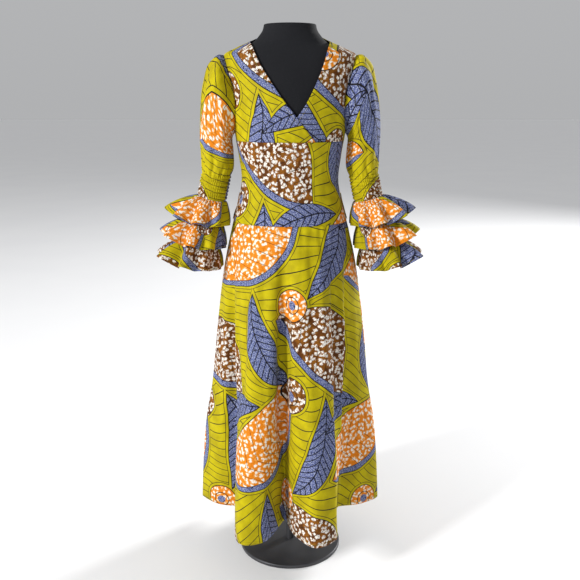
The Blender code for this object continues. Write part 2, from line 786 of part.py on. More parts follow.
def main():
    for thing in list(bpy.data.objects):
        bpy.data.objects.remove(thing)
    parts = bpy.data.collections.new("wax_print_dress")
    bpy.context.scene.collection.children.link(parts)
    cloth = material("wax_print_cotton", PRINT_GREEN, 0.75)
    black = material("black_jersey", FORM_BLACK, 0.85)
    steel = material("dark_steel", STEEL_GREY, 0.4, 1.0)

    dress_form(black, parts)
    turned("stand_pole", POLE_RADIUS, BASE_THICK + SEAM_GAP, FORM_BOTTOM - SEAM_GAP, 0, 20,
           steel, parts)
    turned("stand_base", BASE_RADIUS, 0.0, BASE_THICK, 0.003, 40, steel, parts)

    front_upper("front_upper_over", -1, OVER_NECK, None, cloth, parts)
    front_upper("front_upper_under", 1, UNDER_NECK, tuck_under, cloth, parts)
    midriff(cloth, parts)
    back_bodice(cloth, parts)
    skirt_panel("skirt_front", -90, 90, SKIRT_FRONT_ACROSS, cloth, parts)
    skirt_panel("skirt_back_left", 90, 180, SKIRT_BACK_ACROSS, cloth, parts)
    skirt_panel("skirt_back_right", 180, 270, SKIRT_BACK_ACROSS, cloth, parts)

    for side, hand in (("left", 1), ("right", -1)):
        sleeve(f"sleeve_{side}", hand, cloth, parts)
        for number, values in enumerate(TIERS, start=1):
            tier(f"ruffle_{side}_{number}", hand, values, cloth, parts)
        belt_strip(f"belt_{side}", hand, cloth, parts)
    knot(cloth, parts)
    for values in BOW_LOOPS:
        bow_loop(values, cloth, parts)
    for values in BELT_TAILS:
        belt_tail(values, cloth, parts)


main()
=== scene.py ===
"""The looks of the wax print dress on its black dress form.

Each cloth piece is a fine thin shell on the form of the solid that it stands for. It repeats that
solid's measurements, adds the creases, gathers and hems, and carries the print in its own cut's
metres, so the print lies on the cloth as it does on a cut panel.
"""

import math

import bpy
import numpy as np
from mathutils import Euler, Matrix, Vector


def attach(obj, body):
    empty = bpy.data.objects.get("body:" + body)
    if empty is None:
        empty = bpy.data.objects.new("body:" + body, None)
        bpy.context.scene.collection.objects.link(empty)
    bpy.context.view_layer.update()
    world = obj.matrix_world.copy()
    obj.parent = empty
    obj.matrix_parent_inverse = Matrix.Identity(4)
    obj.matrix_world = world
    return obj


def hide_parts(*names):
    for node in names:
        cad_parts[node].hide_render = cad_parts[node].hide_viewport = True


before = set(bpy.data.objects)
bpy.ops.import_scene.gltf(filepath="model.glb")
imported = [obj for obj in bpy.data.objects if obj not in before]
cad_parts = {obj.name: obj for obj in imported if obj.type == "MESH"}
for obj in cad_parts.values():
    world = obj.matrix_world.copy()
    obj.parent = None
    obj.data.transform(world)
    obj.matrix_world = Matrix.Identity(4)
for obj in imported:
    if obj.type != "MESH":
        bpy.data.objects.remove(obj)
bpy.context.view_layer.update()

LOOKING_DOWN = 14.0  # degrees

# Camera at the photograph's angle to the dress: a little above the bust, looking slightly down.
camera = bpy.data.objects.new("camera", bpy.data.cameras.new("camera"))
bpy.context.scene.collection.objects.link(camera)
camera.location = (0.0, -2.05, 1.30)
camera.rotation_euler = Euler((math.radians(90 - LOOKING_DOWN), 0, 0))
camera.data.sensor_width = 36.0
camera.data.lens = 46.6
bpy.context.scene.camera = camera

# Metres from here on, and degrees round the figure: 0 is the front, 90 the wearer's left side.
CLOTH = 0.0016  # the solids' wall
SHELL = 0.0011  # the wall shown here, from the same outer face inwards
LAYER_GAP = 0.0012
SEAM_GAP = 0.0003

COLLAR_BACK = 1.484
SHOULDER_NECK = 1.455
SHOULDER_TIP = 1.420
ARMPIT = 1.222
UNDERBUST = 1.202
WAIST_SEAM = 0.987
BELT_TOP = 1.064
HEM = 0.150

# The cloth on the body, level by level: height, half width, front depth, back depth.
BODY_SECTIONS = [
    (0.780, 0.178, 0.140, 0.138),
    (0.880, 0.170, 0.132, 0.128),
    (0.987, 0.155, 0.118, 0.112),
    (1.045, 0.139, 0.108, 0.098),
    (1.105, 0.131, 0.104, 0.090),
    (1.160, 0.137, 0.113, 0.093),
    (1.215, 0.146, 0.126, 0.101),
    (1.270, 0.152, 0.131, 0.108),
    (1.330, 0.160, 0.116, 0.110),
    (1.385, 0.171, 0.094, 0.100),
    (1.420, 0.172, 0.078, 0.086),
    (1.440, 0.138, 0.068, 0.075),
    (1.455, 0.104, 0.062, 0.068),
    (1.470, 0.084, 0.058, 0.064),
    (1.484, 0.074, 0.056, 0.061),
    (1.500, 0.070, 0.055, 0.059),
]
# The skirt without its folds, in the same columns.
SKIRT_SECTIONS = [
    (0.150, 0.264, 0.262, 0.262),
    (0.230, 0.260, 0.254, 0.254),
    (0.340, 0.252, 0.240, 0.240),
    (0.410, 0.244, 0.229, 0.229),
    (0.515, 0.225, 0.208, 0.208),
    (0.620, 0.213, 0.190, 0.188),
    (0.720, 0.202, 0.171, 0.168),
    (0.820, 0.189, 0.153, 0.149),
    (0.900, 0.175, 0.137, 0.131),
    (0.987, 0.155, 0.118, 0.112),
]
# The folds at the hem: degrees round the figure, and the way out from the middle.
HEM_FOLDS = [
    (-90, 0.264), (-78, 0.222), (-64, 0.160), (-48, 0.178), (-37, 0.252),
    (-26, 0.292), (-16, 0.262), (-6, 0.136), (4, 0.226), (15, 0.288),
    (27, 0.270), (37, 0.212), (48, 0.168), (64, 0.156), (78, 0.218),
    (90, 0.264), (101, 0.235), (114, 0.178), (131, 0.158), (149, 0.196),
    (160, 0.264), (169, 0.286), (176, 0.222), (181, 0.128), (187, 0.226),
    (195, 0.286), (206, 0.256), (215, 0.206), (229, 0.212), (244, 0.164),
    (257, 0.206), (270, 0.264),
]
FOLD_START = 0.975  # the folds begin at this height and deepen towards the hem
FOLD_POWER = 0.88

# Rings of the sleeve: inner x and height, outer x and height, half depth, gather.
SLEEVE_RINGS = [
    (0.1530, 1.2165, 0.193, 1.4165, 0.073, 0.0020),
    (0.1555, 1.2110, 0.211, 1.3960, 0.076, 0.0035),
    (0.1560, 1.2030, 0.224, 1.3520, 0.072, 0.0035),
    (0.1550, 1.1910, 0.2355, 1.2900, 0.065, 0.0025),
    (0.1535, 1.1730, 0.2395, 1.2260, 0.058, 0.0020),
    (0.1530, 1.1450, 0.2380, 1.1680, 0.052, 0.0024),
    (0.1580, 1.1190, 0.2365, 1.1290, 0.046, 0.0018),
]
# The smocked band: height and x of its two ends, and its radii across and deep.
SMOCK_TOP = (1.112, 0.1995)
SMOCK_END = (1.052, 0.2125)
SMOCK_RADII = (0.0372, 0.0415)
SMOCK_PUFF = 0.0034
CUFF_LEAN = 14.0  # degrees
CUFF_LENGTH = 0.140
CUFF_RADII = (0.0375, 0.0420)
SLEEVE_GATHERS = 6
ARMHOLE_FRONT = 25.0
ARMHOLE_BACK = 20.0
# Tiers: how far down the cuff, drop, flare, more flare outward, wave, waves, degrees turned.
TIERS = [
    (0.004, 0.096, 0.040, 0.018, 0.016, 9, 0),
    (0.066, 0.097, 0.042, 0.019, 0.016, 9, 35),
    (0.126, 0.097, 0.041, 0.018, 0.015, 9, 70),
]
TIER_ARC = (25.0, 78.0)
TIER_OUT_WAVE = 0.42
TIER_HEM_LIFT = 0.40
TIER_HELD = 0.026
TIER_SLACK = 1.08
TIER_DEEPENING = 1.1
TIER_UNEVEN = (0.22, 3, 2.3, 0.6)  # a slower wave: its size, how many fewer, two turns
SKIRT_CLEARANCE = 0.004
SKIRT_HALF_DEPTH = 0.2
# How far inside the cloth the dress form is, by height.
FORM_SLACK = [
    (0.780, 0.0120), (0.985, 0.0085), (1.105, 0.0130), (1.200, 0.0090), (1.380, 0.0080),
    (1.415, 0.0080), (1.448, 0.0080), (1.464, 0.0048), (1.475, 0.0034), (1.500, 0.0034),
]
# The two front neck edges: height, and the way from the middle to the panel's open side.
OVER_NECK = [
    (1.202, -0.066), (1.222, -0.050), (1.262, -0.019), (1.310, 0.019),
    (1.355, 0.050), (1.400, 0.078), (1.435, 0.094), (1.455, 0.104),
]
UNDER_NECK = [
    (1.202, -0.030), (1.235, -0.004), (1.262, 0.017), (1.310, 0.048),
    (1.355, 0.070), (1.400, 0.087), (1.435, 0.097), (1.455, 0.104),
]


def curve_through(table, column):
    """A smooth function of a table's first column, with no overshoot. It takes arrays."""
    rows = sorted(table)
    xs = np.array([r[0] for r in rows], float)
    ys = np.array([r[column] for r in rows], float)
    steps = np.diff(ys) / np.diff(xs)
    both = steps[:-1] * steps[1:]
    total = np.where(steps[:-1] + steps[1:] == 0, 1, steps[:-1] + steps[1:])
    tangents = np.concatenate([steps[:1], np.where(both > 0, 2 * both / total, 0), steps[-1:]])

    def at(x):
        x = np.clip(np.asarray(x, float), xs[0], xs[-1])
        i = np.clip(np.searchsorted(xs, x, side="right") - 1, 0, len(xs) - 2)
        width = xs[i + 1] - xs[i]
        t = (x - xs[i]) / width
        rise = ys[i + 1] - ys[i]
        first, last = tangents[i] * width, tangents[i + 1] * width
        return (
            ys[i]
            + first * t
            + (3 * rise - 2 * first - last) * t * t
            + (first + last - 2 * rise) * t * t * t
        )

    return at


def ease(t):
    t = np.clip(t, 0.0, 1.0)
    return t * t * (3 - 2 * t)


BODY = [curve_through(BODY_SECTIONS, i) for i in (1, 2, 3)]
SKIRT = [curve_through(SKIRT_SECTIONS, i) for i in (1, 2, 3)]
HEM_RADIUS = curve_through(HEM_FOLDS + [(a + 360, r) for a, r in HEM_FOLDS[1:4]], 1)
SLACK = curve_through(FORM_SLACK, 1)


def worn_point(sections, angle, height):
    angle, height = np.broadcast_arrays(np.asarray(angle, float), np.asarray(height, float))
    t = np.radians(angle)
    wide, front, back = (f(height) for f in sections)
    depth = np.where(np.cos(t) > 0, front, back)
    return np.stack([wide * np.sin(t), -depth * np.cos(t), height], axis=-1)


def body_point(angle, height):
    return worn_point(BODY, angle, height)


def unit(v):
    return v / np.maximum(np.linalg.norm(v, axis=-1, keepdims=True), 1e-12)


def body_normal(angle, height):
    angle, height = np.asarray(angle, float), np.asarray(height, float)
    across = body_point(angle + 0.5, height) - body_point(angle - 0.5, height)
    up = body_point(angle, height + 0.002) - body_point(angle, height - 0.002)
    return unit(np.cross(across, up))


def skirt_point(angle, height):
    wrapped = (np.asarray(angle) + 90) % 360 - 90
    plain = worn_point(SKIRT, angle, height)
    hem_plain = worn_point(SKIRT, angle, np.full_like(np.asarray(height, float), HEM))
    flat = np.linalg.norm(hem_plain[..., :2], axis=-1)
    grown = np.maximum(0.0, (FOLD_START - np.asarray(height)) / (FOLD_START - HEM)) ** FOLD_POWER
    share = 1 + grown * (HEM_RADIUS(wrapped) / flat - 1)
    plain[..., 0] *= share
    plain[..., 1] *= share
    return plain


def grid_normals(points, closed=False):
    """Outward normals of a grid of rows that run round +X by the front's right, rows going up."""
    if closed:
        across = np.roll(points, -1, axis=1) - np.roll(points, 1, axis=1)
    else:
        across = np.gradient(points, axis=1)
    up = np.gradient(points, axis=0)
    return unit(np.cross(across, up))


# A crease runs from one place on the cut to another: from u and v, to u and v, width, depth, bow.
# A negative depth is a trough. A softer welt of the other sign lies beside each crease.
CREASE_TAPER = 0.8
WELT_PLACE, WELT_WIDTH, WELT_SHARE = 2.1, 1.2, 0.45


def pressed(points, u, v, creases, closed=False):
    """Soft uneven troughs and ridges along the creases of a table."""
    push = np.zeros(points.shape[:2])
    for from_u, from_v, to_u, to_v, width, depth, bow in creases:
        du, dv = to_u - from_u, to_v - from_v
        length = math.hypot(du, dv)
        along = ((u - from_u) * du + (v - from_v) * dv) / length**2
        off = ((v - from_v) * du - (u - from_u) * dv) / length
        inside = np.clip(along, 0, 1)
        off = off - bow * 4 * inside * (1 - inside)
        fade = np.sin(math.pi * inside) ** CREASE_TAPER
        spread = width * (0.75 + 0.5 * inside)
        trough = np.exp(-((off / spread) ** 2))
        welt = np.exp(-(((off - WELT_PLACE * spread) / (WELT_WIDTH * spread)) ** 2))
        push += depth * fade * (trough - WELT_SHARE * welt)
    return points + grid_normals(points, closed) * push[..., None]


WAVES_CROSSED = 7


def wavy(u, v, seed, size):
    """A quiet, smooth unevenness between -1 and 1 from a few crossed waves."""
    rng = np.random.default_rng(seed)
    total = np.zeros(np.broadcast(u, v).shape)
    for _ in range(WAVES_CROSSED):
        turn, phase = rng.uniform(0, 2 * math.pi, 2)
        wave = 2 * math.pi / (size * rng.uniform(0.7, 1.8))
        total = total + np.sin(wave * (u * math.cos(turn) + v * math.sin(turn)) + phase)
    return total / math.sqrt(WAVES_CROSSED) / 1.6


def lay_print(u, v, shift, turn):
    """Where a panel was cut from the printed cloth."""
    c, s = math.cos(math.radians(turn)), math.sin(math.radians(turn))
    return np.stack([u * c - v * s + shift[0], u * s + v * c + shift[1]], axis=-1)


def quads(rows, wide, columns):
    """Point numbers of a grid's quads. The grid closes on itself where wide equals columns."""
    j, i = (n.ravel() for n in np.mgrid[0:rows - 1, 0:wide])
    k = (i + 1) % columns
    low, high = j * columns, (j + 1) * columns
    return np.stack([low + i, low + k, high + k, high + i], axis=-1)


def show(name, mesh, node, finish, wall=None):
    """Puts a mesh in its solid's place, as a shell where a wall is given."""
    mesh.materials.append(finish)
    piece = bpy.data.objects.new(name, mesh)
    bpy.context.scene.collection.objects.link(piece)
    if wall:
        shell = piece.modifiers.new("wall", "SOLIDIFY")
        shell.thickness = wall
        shell.offset = -1.0
    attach(piece, "root")
    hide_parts(node)
    return piece


def make_cloth(name, points, cut, hem, node, closed=False, flip=False):
    """A thin shell over a grid. Cut is the print's place, hem the way in from a stitched edge.

    A closed grid has one more column in cut and hem than in points, where it meets itself.
    """
    rows, columns = points.shape[:2]
    wide = columns if closed else columns - 1
    faces, corners = quads(rows, wide, columns), quads(rows, wide, wide + 1)
    if flip:
        faces, corners = faces[:, ::-1], corners[:, ::-1]
    mesh = bpy.data.meshes.new(name)
    mesh.from_pydata(points.reshape(-1, 3).tolist(), [], faces.tolist())
    for layer, values in (("cut", cut), ("hem", hem)):
        places = values.reshape(-1, 2)[corners.ravel()].astype(np.float32)
        mesh.uv_layers.new(name=layer).data.foreach_set("uv", places.ravel())
    mesh.shade_smooth()
    return show(name, mesh, node, WAX_PRINT, wall=SHELL)


def operator(operation):
    """A Value's operator and its reflected form, so that 1 - mask works too."""
    return (
        lambda value, other: value.graph.math(operation, value, other),
        lambda value, other: value.graph.math(operation, other, value),
    )


def function(operation):
    return lambda value, *others: value.graph.math(operation, value, *others)


class Value:
    """A number or a vector of a surface's node graph, with the usual arithmetic."""

    def __init__(self, graph, socket):
        self.graph, self.socket = graph, socket

    __add__, __radd__ = operator("ADD")
    __sub__, __rsub__ = operator("SUBTRACT")
    __mul__, __rmul__ = operator("MULTIPLY")
    __truediv__, __rtruediv__ = operator("DIVIDE")
    sine, root = function("SINE"), function("SQRT")
    size, fraction = function("ABSOLUTE"), function("FRACT")
    least, most = function("MINIMUM"), function("MAXIMUM")

    def below(self, edge, soft):
        """1 well below the edge, 0 well above it."""
        return self.graph.step(self, edge, soft)


class Graph:
    """A material's node graph, built from values."""

    def __init__(self, name):
        self.material = bpy.data.materials.new(name)
        self.material.use_nodes = True
        self.tree = self.material.node_tree
        self.shader = self.tree.nodes["Principled BSDF"]

    def _feed(self, socket, value):
        if isinstance(value, Value):
            self.tree.links.new(value.socket, socket)
        elif socket.type == "RGBA" and len(value) == 3:
            socket.default_value = (*value, 1.0)
        else:
            socket.default_value = value

    def node(self, kind, settings, inputs, output=0):
        """Any other node: its type, its settings by name, and its inputs by name or number."""
        made = self.tree.nodes.new(kind)
        for key, value in settings.items():
            setattr(made, key, value)
        for key, value in inputs.items():
            self._feed(made.inputs[key], value)
        return Value(self, made.outputs[output])

    def math(self, operation, *values):
        return self.node("ShaderNodeMath", {"operation": operation}, dict(enumerate(values)))

    def step(self, value, edge, soft):
        return self.node(
            "ShaderNodeMapRange",
            {"interpolation_type": "SMOOTHSTEP"},
            {"Value": value, "From Min": edge - soft, "From Max": edge + soft,
             "To Min": 1.0, "To Max": 0.0},
        )

    def mix(self, share, first, second):
        """Colours: the second one where share is 1."""
        return self.node(
            "ShaderNodeMix", {"data_type": "RGBA"}, {0: share, 6: first, 7: second}, output=2
        )

    def noise(self, place, scale, detail, settings=None, output=0, **more):
        return self.node(
            "ShaderNodeTexNoise", settings or {},
            {"Vector": place, "Scale": scale, "Detail": detail, **more}, output,
        )

    def bump(self, strength, distance, height, **under):
        return self.node("ShaderNodeBump", {}, {
            "Strength": strength, "Distance": distance, "Height": height, **under,
        })

    def place(self):
        """The place on the piece, in metres."""
        return self.node("ShaderNodeTexCoord", {}, {}, output=3)

    def split(self, vector):
        """A vector's first two numbers."""
        first = self.node("ShaderNodeSeparateXYZ", {}, {0: vector})
        return first, Value(self, first.socket.node.outputs[1])

    def set(self, **inputs):
        for key, value in inputs.items():
            self._feed(self.shader.inputs[key.replace("_", " ")], value)


CHARTREUSE = (0.46, 0.385, 0.002)
CHARTREUSE_DEEP = (0.36, 0.295, 0.0015)
ORANGE = (0.66, 0.190, 0.006)
ORANGE_PALE = (0.72, 0.330, 0.060)
BROWN = (0.085, 0.026, 0.003)
BROWN_WARM = (0.230, 0.082, 0.007)
BLUE = (0.060, 0.078, 0.205)
BLUE_PALE = (0.30, 0.33, 0.46)
NAVY = (0.010, 0.011, 0.034)
INK = (0.007, 0.006, 0.008)
WHITE = (0.74, 0.71, 0.65)

# The printed repeat, and the leaves and discs on it: own design, laid out in metres.
REPEAT = (0.46, 0.54)
# Each one: kind, across, up, degrees turned, half length, half width, bend, ink.
MOTIFS = [
    ("leaf", 0.110, 0.135, 38, 0.192, 0.094, 1.4, "orange"),
    ("leaf", 0.345, 0.405, -34, 0.190, 0.096, -1.3, "brown"),
    ("leaf", 0.345, 0.120, 74, 0.148, 0.043, 2.2, "blue"),
    ("leaf", 0.110, 0.395, 112, 0.148, 0.043, -2.0, "blue"),
    ("leaf", 0.445, 0.245, 20, 0.108, 0.032, -2.6, "blue"),
    ("disc", 0.232, 0.268, 0, 0.047, 0.047, 0.0, "brown"),
    ("disc", 0.215, 0.510, 0, 0.043, 0.043, 0.0, "orange"),
]


# Lines of the print, as half of their width, and how far apart or how far in they run.
OUTLINE = 0.0012
SHARP = 0.0006  # how soft a drawn line's edge is
MARGIN, MARGIN_LINE = 0.0085, 0.0008
CONTOUR_STEP = 0.0235
BLUE_RIB_STEP, LEAF_RIB_STEP = 0.020, 0.030
BORDER = 0.017
STITCH_INSET, STITCH_LENGTH, STITCH_HALF = 0.0085, 0.0032, 0.00045
HEM_FOLD = 0.0092
WARP_PITCH = 1900.0

FLAT = {"noise_dimensions": "2D"}
FLAT_CELLS = {"voronoi_dimensions": "2D"}


def wax_print():
    """A generic wax print: leaves and discs with bubbles, on a ground ruled with contour lines."""
    g = Graph("wax_print_cotton")
    cut = g.node("ShaderNodeUVMap", {"uv_map": "cut"}, {})
    wobble = g.noise(cut, 9.0, 1.0, FLAT, output=1)
    u, v = g.split(g.node("ShaderNodeVectorMath", {"operation": "MULTIPLY_ADD"},
                          {0: wobble, 1: (0.012, 0.012, 0.0), 2: cut}))

    def lines(value, step, half, soft):
        """Even lines across a value, half a share of the step wide to each side."""
        return ((value / step).fraction() - 0.5).size().below(half, soft)

    def local(across, up, turn):
        x = ((u - across) / REPEAT[0] + 0.5).fraction() * REPEAT[0] - REPEAT[0] / 2
        y = ((v - up) / REPEAT[1] + 0.5).fraction() * REPEAT[1] - REPEAT[1] / 2
        if not turn:
            return x, y
        c, s = math.cos(math.radians(turn)), math.sin(math.radians(turn))
        return x * c + y * s, y * c - x * s

    shapes, nearest = [], None
    for kind, across, up, turn, long, wide, bend, ink in MOTIFS:
        x, y = local(across, up, turn)
        if kind == "leaf":
            y = y - bend * x * x
            radius = (long**2 + wide**2) / (2 * wide)
            far = y.size() + (radius - wide)
            away = (x * x + far * far).root() - radius
        else:
            away = (x * x + y * y).root() - wide
        shapes.append((kind, ink, x, y, away, wide))
        nearest = away if nearest is None else nearest.least(away)

    veins = g.node("ShaderNodeTexVoronoi", {"feature": "DISTANCE_TO_EDGE", **FLAT_CELLS},
                   {"Vector": cut, "Scale": 95.0})
    bubbles = g.node("ShaderNodeTexVoronoi", FLAT_CELLS,
                     {"Vector": cut, "Scale": 78.0, "Randomness": 1.0})
    blots = g.noise(cut, 120.0, 2.0, FLAT, Roughness=0.6)
    specks = g.noise(cut, 420.0, 1.0, FLAT)
    tone = g.noise(cut, 26.0, 2.0, FLAT)

    vein = veins.below(0.045, 0.03)
    bubble = bubbles + (blots - 0.5) * 1.2
    orange = g.mix(bubble.below(0.42, 0.14), ORANGE, ORANGE_PALE)
    orange = g.mix(vein * 0.40, orange, BROWN_WARM)
    orange = g.mix(bubble.below(0.26, 0.11), orange, WHITE)
    brown = g.mix(tone.below(0.50, 0.12), BROWN_WARM, BROWN)
    brown = g.mix(bubble.below(0.44, 0.10), brown, BROWN_WARM)
    brown = g.mix(bubble.below(0.33, 0.09), brown, WHITE)
    brown = g.mix(vein * 0.8, brown, BROWN)
    blue = g.mix(specks.below(0.56, 0.05), BLUE_PALE, BLUE)
    blue = g.mix(blots.below(0.34, 0.05), blue, NAVY)
    inks = {"orange": orange, "brown": brown, "blue": blue}

    green = g.mix(tone.below(0.5, 0.2), CHARTREUSE, CHARTREUSE_DEEP)
    flow = v + (u * 13.6 + v * 5.8).sine() * 0.030 + (u * 29.0 - v * 11.6 + 1.3).sine() * 0.009
    ink = lines(flow, CONTOUR_STEP, 0.046, 0.014) * (1.0 - nearest.below(MARGIN, SHARP))
    ink = ink.most((nearest - MARGIN).size().below(MARGIN_LINE, 0.0005))
    colour = g.mix(ink, green, INK)
    for kind, name, x, y, away, wide in shapes:
        fill = inks[name]
        if name == "blue":
            ribs = lines(x + y.size() * 0.9, BLUE_RIB_STEP, 0.085, 0.030)
            fill = g.mix(ribs.most(y.size().below(0.0016, SHARP)), fill, INK)
        elif kind == "leaf":
            fill = g.mix(lines(x - y.size() * 0.55, LEAF_RIB_STEP, 0.022, 0.016), fill, INK)
            lower = y.below(0.0, 0.0005)
            fill = g.mix((1.0 - away.below(-BORDER, SHARP)) * lower, fill, blue)
            fill = g.mix((away + BORDER).size().below(0.0009, SHARP) * lower, fill, INK)
        else:
            fill = g.mix(away.below(-0.72 * wide, SHARP), fill, blue)
            fill = g.mix((away + 0.5 * wide).size().below(OUTLINE, SHARP), fill, INK)
        colour = g.mix(away.below(0.0, 0.0004), colour, fill)
        colour = g.mix(away.size().below(OUTLINE, 0.0005), colour, INK)

    run, inward = g.split(g.node("ShaderNodeUVMap", {"uv_map": "hem"}, {}))
    stitch = (inward - STITCH_INSET).size().below(STITCH_HALF, 0.0002)
    stitch = stitch * lines(run, STITCH_LENGTH, 0.34, 0.05)
    colour = g.mix(stitch * 0.8, colour, CHARTREUSE_DEEP)
    folded = inward.below(HEM_FOLD, 0.0008)

    warp = ((u * WARP_PITCH).sine() + (v * WARP_PITCH).sine()) * 0.5
    rumple = g.noise(cut, 30.0, 3.0, FLAT, Roughness=0.55)
    weave = g.bump(0.25, 0.0002, warp)
    soft = g.bump(0.35, 0.004, rumple, Normal=weave)
    sewing = g.bump(0.7, 0.0008, folded + stitch * 0.6, Normal=soft)
    g.set(Base_Color=colour, Roughness=0.62 + tone * 0.2, Normal=sewing,
          Specular_IOR_Level=0.12, Sheen_Weight=0.02, Sheen_Roughness=0.5)
    return g.material


def jersey():
    """Black knit stretched over the dress form."""
    g = Graph("black_jersey")
    place = g.place()
    knit = g.node("ShaderNodeTexWave", {"wave_type": "BANDS", "bands_direction": "Z"},
                  {"Vector": place, "Scale": 260.0, "Distortion": 3.0, "Detail": 1.0})
    lint, tone = g.noise(place, 900.0, 2.0), g.noise(place, 6.0, 2.0)
    colour = g.mix(tone.below(0.5, 0.25), (0.0065, 0.007, 0.009), (0.004, 0.0043, 0.006))
    colour = g.mix(lint.below(0.36, 0.03), colour, (0.014, 0.014, 0.017))
    g.set(Base_Color=colour, Roughness=0.82 + lint * 0.1, Normal=g.bump(0.3, 0.0003, knit),
          Specular_IOR_Level=0.25, Sheen_Weight=0.03, Sheen_Roughness=0.4)
    return g.material


def steel():
    """Satin powder-coated steel of the stand."""
    g = Graph("dark_steel")
    place = g.place()
    grain, wear = g.noise(place, 700.0, 2.0), g.noise(place, 14.0, 4.0)
    colour = g.mix(wear.below(0.45, 0.2), (0.075, 0.075, 0.08), (0.055, 0.055, 0.06))
    g.set(Base_Color=colour, Roughness=0.38 + wear * 0.14, Normal=g.bump(0.2, 0.0002, grain),
          Metallic=0.6)
    return g.material


WAX_PRINT = wax_print()
JERSEY = jersey()
STEEL = steel()


def straight(start, end):
    return lambda t: tuple(a + (b - a) * t for a, b in zip(start, end))


def patch(left, right, bottom, top, across, up):
    """Angles and heights inside four edges, each a function of 0 to 1."""
    us, vs = np.linspace(0, 1, across + 1), np.linspace(0, 1, up + 1)
    lo, hi = np.array([bottom(u) for u in us]), np.array([top(u) for u in us])
    le, ri = np.array([left(v) for v in vs]), np.array([right(v) for v in vs])
    u, v = us[None, :, None], vs[:, None, None]
    return (
        (1 - v) * lo[None] + v * hi[None] + (1 - u) * le[:, None] + u * ri[:, None]
        - (1 - u) * (1 - v) * lo[0] - u * (1 - v) * lo[-1] - (1 - u) * v * hi[0] - u * v * hi[-1]
    )


def seam_angle(angle, height, side):
    """Half a seam gap short of an angle at the side of the body."""
    depth = float(BODY[1 if side < 0 else 2](max(height, WAIST_SEAM)))
    return angle + side * math.degrees(0.5 * SEAM_GAP / depth)


def armhole(turn):
    """Angle and height of a place round the armhole, in degrees from the shoulder tip."""
    t = math.radians(turn)
    reach = ARMHOLE_FRONT if math.sin(t) > 0 else ARMHOLE_BACK
    middle, half = 0.5 * (SHOULDER_TIP + ARMPIT), 0.5 * (SHOULDER_TIP - ARMPIT)
    return 90 - reach * math.sin(t), middle + half * math.cos(t)


ARMHOLE_STEPS = 12


def side_edge(bottom, seam_rows, hand, is_front):
    """A bodice panel's side: up the side seam, then round the armhole to the shoulder tip."""
    rows = seam_rows + ARMHOLE_STEPS
    off = -1 if is_front else 1

    def at(v):
        step = v * rows
        if step <= seam_rows:
            angle, height = 90.0, bottom + (ARMPIT - bottom) * step / seam_rows
        else:
            turn = 180 * (1 - (step - seam_rows) / ARMHOLE_STEPS)
            angle, height = armhole(turn if is_front else 360 - turn)
        return hand * seam_angle(angle, height, off), height

    return at


def neck_edge(table, hand):
    """A front panel's neck edge, up from the underbust seam to the shoulder."""
    offset = curve_through(table, 1)
    low = UNDERBUST + 0.5 * SEAM_GAP

    def at(v):
        height = low + (1 - (1 - v) ** 1.6) * (SHOULDER_NECK - low)
        share = float(offset(height)) / float(BODY[0](height))
        angle = math.degrees(math.asin(max(-1.0, min(1.0, share))))
        if v > 0.9999:
            angle = seam_angle(90.0, height, -1)
        return hand * angle, height

    return at


def column_run(points):
    """The running length up each column."""
    step = np.linalg.norm(np.diff(points, axis=0), axis=-1)
    return np.concatenate([np.zeros((1, points.shape[1])), np.cumsum(step, axis=0)], axis=0)


def edge_run(points):
    """The running length along each row, for stitches."""
    return column_run(points.swapaxes(0, 1)).T


FRONT_OVER_CREASES = [
    (-0.150, 1.235, -0.030, 1.290, 0.0075, -0.0022, 0.012),
    (-0.135, 1.300, -0.060, 1.330, 0.0080, -0.0018, 0.008),
    (-0.185, 1.330, -0.125, 1.270, 0.0080, -0.0026, -0.006),
    (-0.060, 1.206, -0.075, 1.262, 0.0055, -0.0024, 0.003),
    (-0.095, 1.206, -0.100, 1.250, 0.0060, -0.0022, -0.002),
    (-0.020, 1.206, -0.050, 1.270, 0.0050, -0.0020, 0.004),
    (0.020, 1.207, -0.030, 1.245, 0.0045, -0.0012, 0.003),
    (-0.150, 1.400, -0.110, 1.350, 0.0090, -0.0020, 0.005),
]
FRONT_UNDER_CREASES = [
    (0.150, 1.235, 0.070, 1.290, 0.0075, -0.0022, -0.010),
    (0.185, 1.335, 0.120, 1.280, 0.0080, -0.0026, 0.006),
    (0.105, 1.206, 0.105, 1.255, 0.0060, -0.0022, 0.003),
    (0.140, 1.206, 0.135, 1.240, 0.0060, -0.0018, -0.002),
    (0.145, 1.400, 0.112, 1.352, 0.0090, -0.0018, -0.004),
]
MIDRIFF_CREASES = [
    (-0.205, 1.100, -0.120, 1.112, 0.0080, -0.0024, 0.006),
    (0.205, 1.085, 0.115, 1.098, 0.0080, -0.0024, -0.006),
    (-0.190, 1.055, -0.080, 1.074, 0.0090, -0.0020, 0.008),
    (0.195, 1.045, 0.090, 1.060, 0.0090, -0.0020, -0.007),
    (-0.190, 1.140, -0.130, 1.135, 0.0070, -0.0016, 0.003),
    (0.190, 1.135, 0.125, 1.128, 0.0070, -0.0016, -0.004),
    (-0.060, 1.198, -0.050, 1.155, 0.0050, -0.0012, 0.002),
    (0.062, 1.196, 0.050, 1.150, 0.0050, -0.0012, -0.002),
    (-0.030, 0.992, -0.040, 1.035, 0.0060, -0.0010, 0.003),
]


BODY_RADIUS = 0.145  # turns an angle into the way round a bodice panel's cut
BODICE_UNEVEN, BACK_UNEVEN = 0.0006, 0.0008


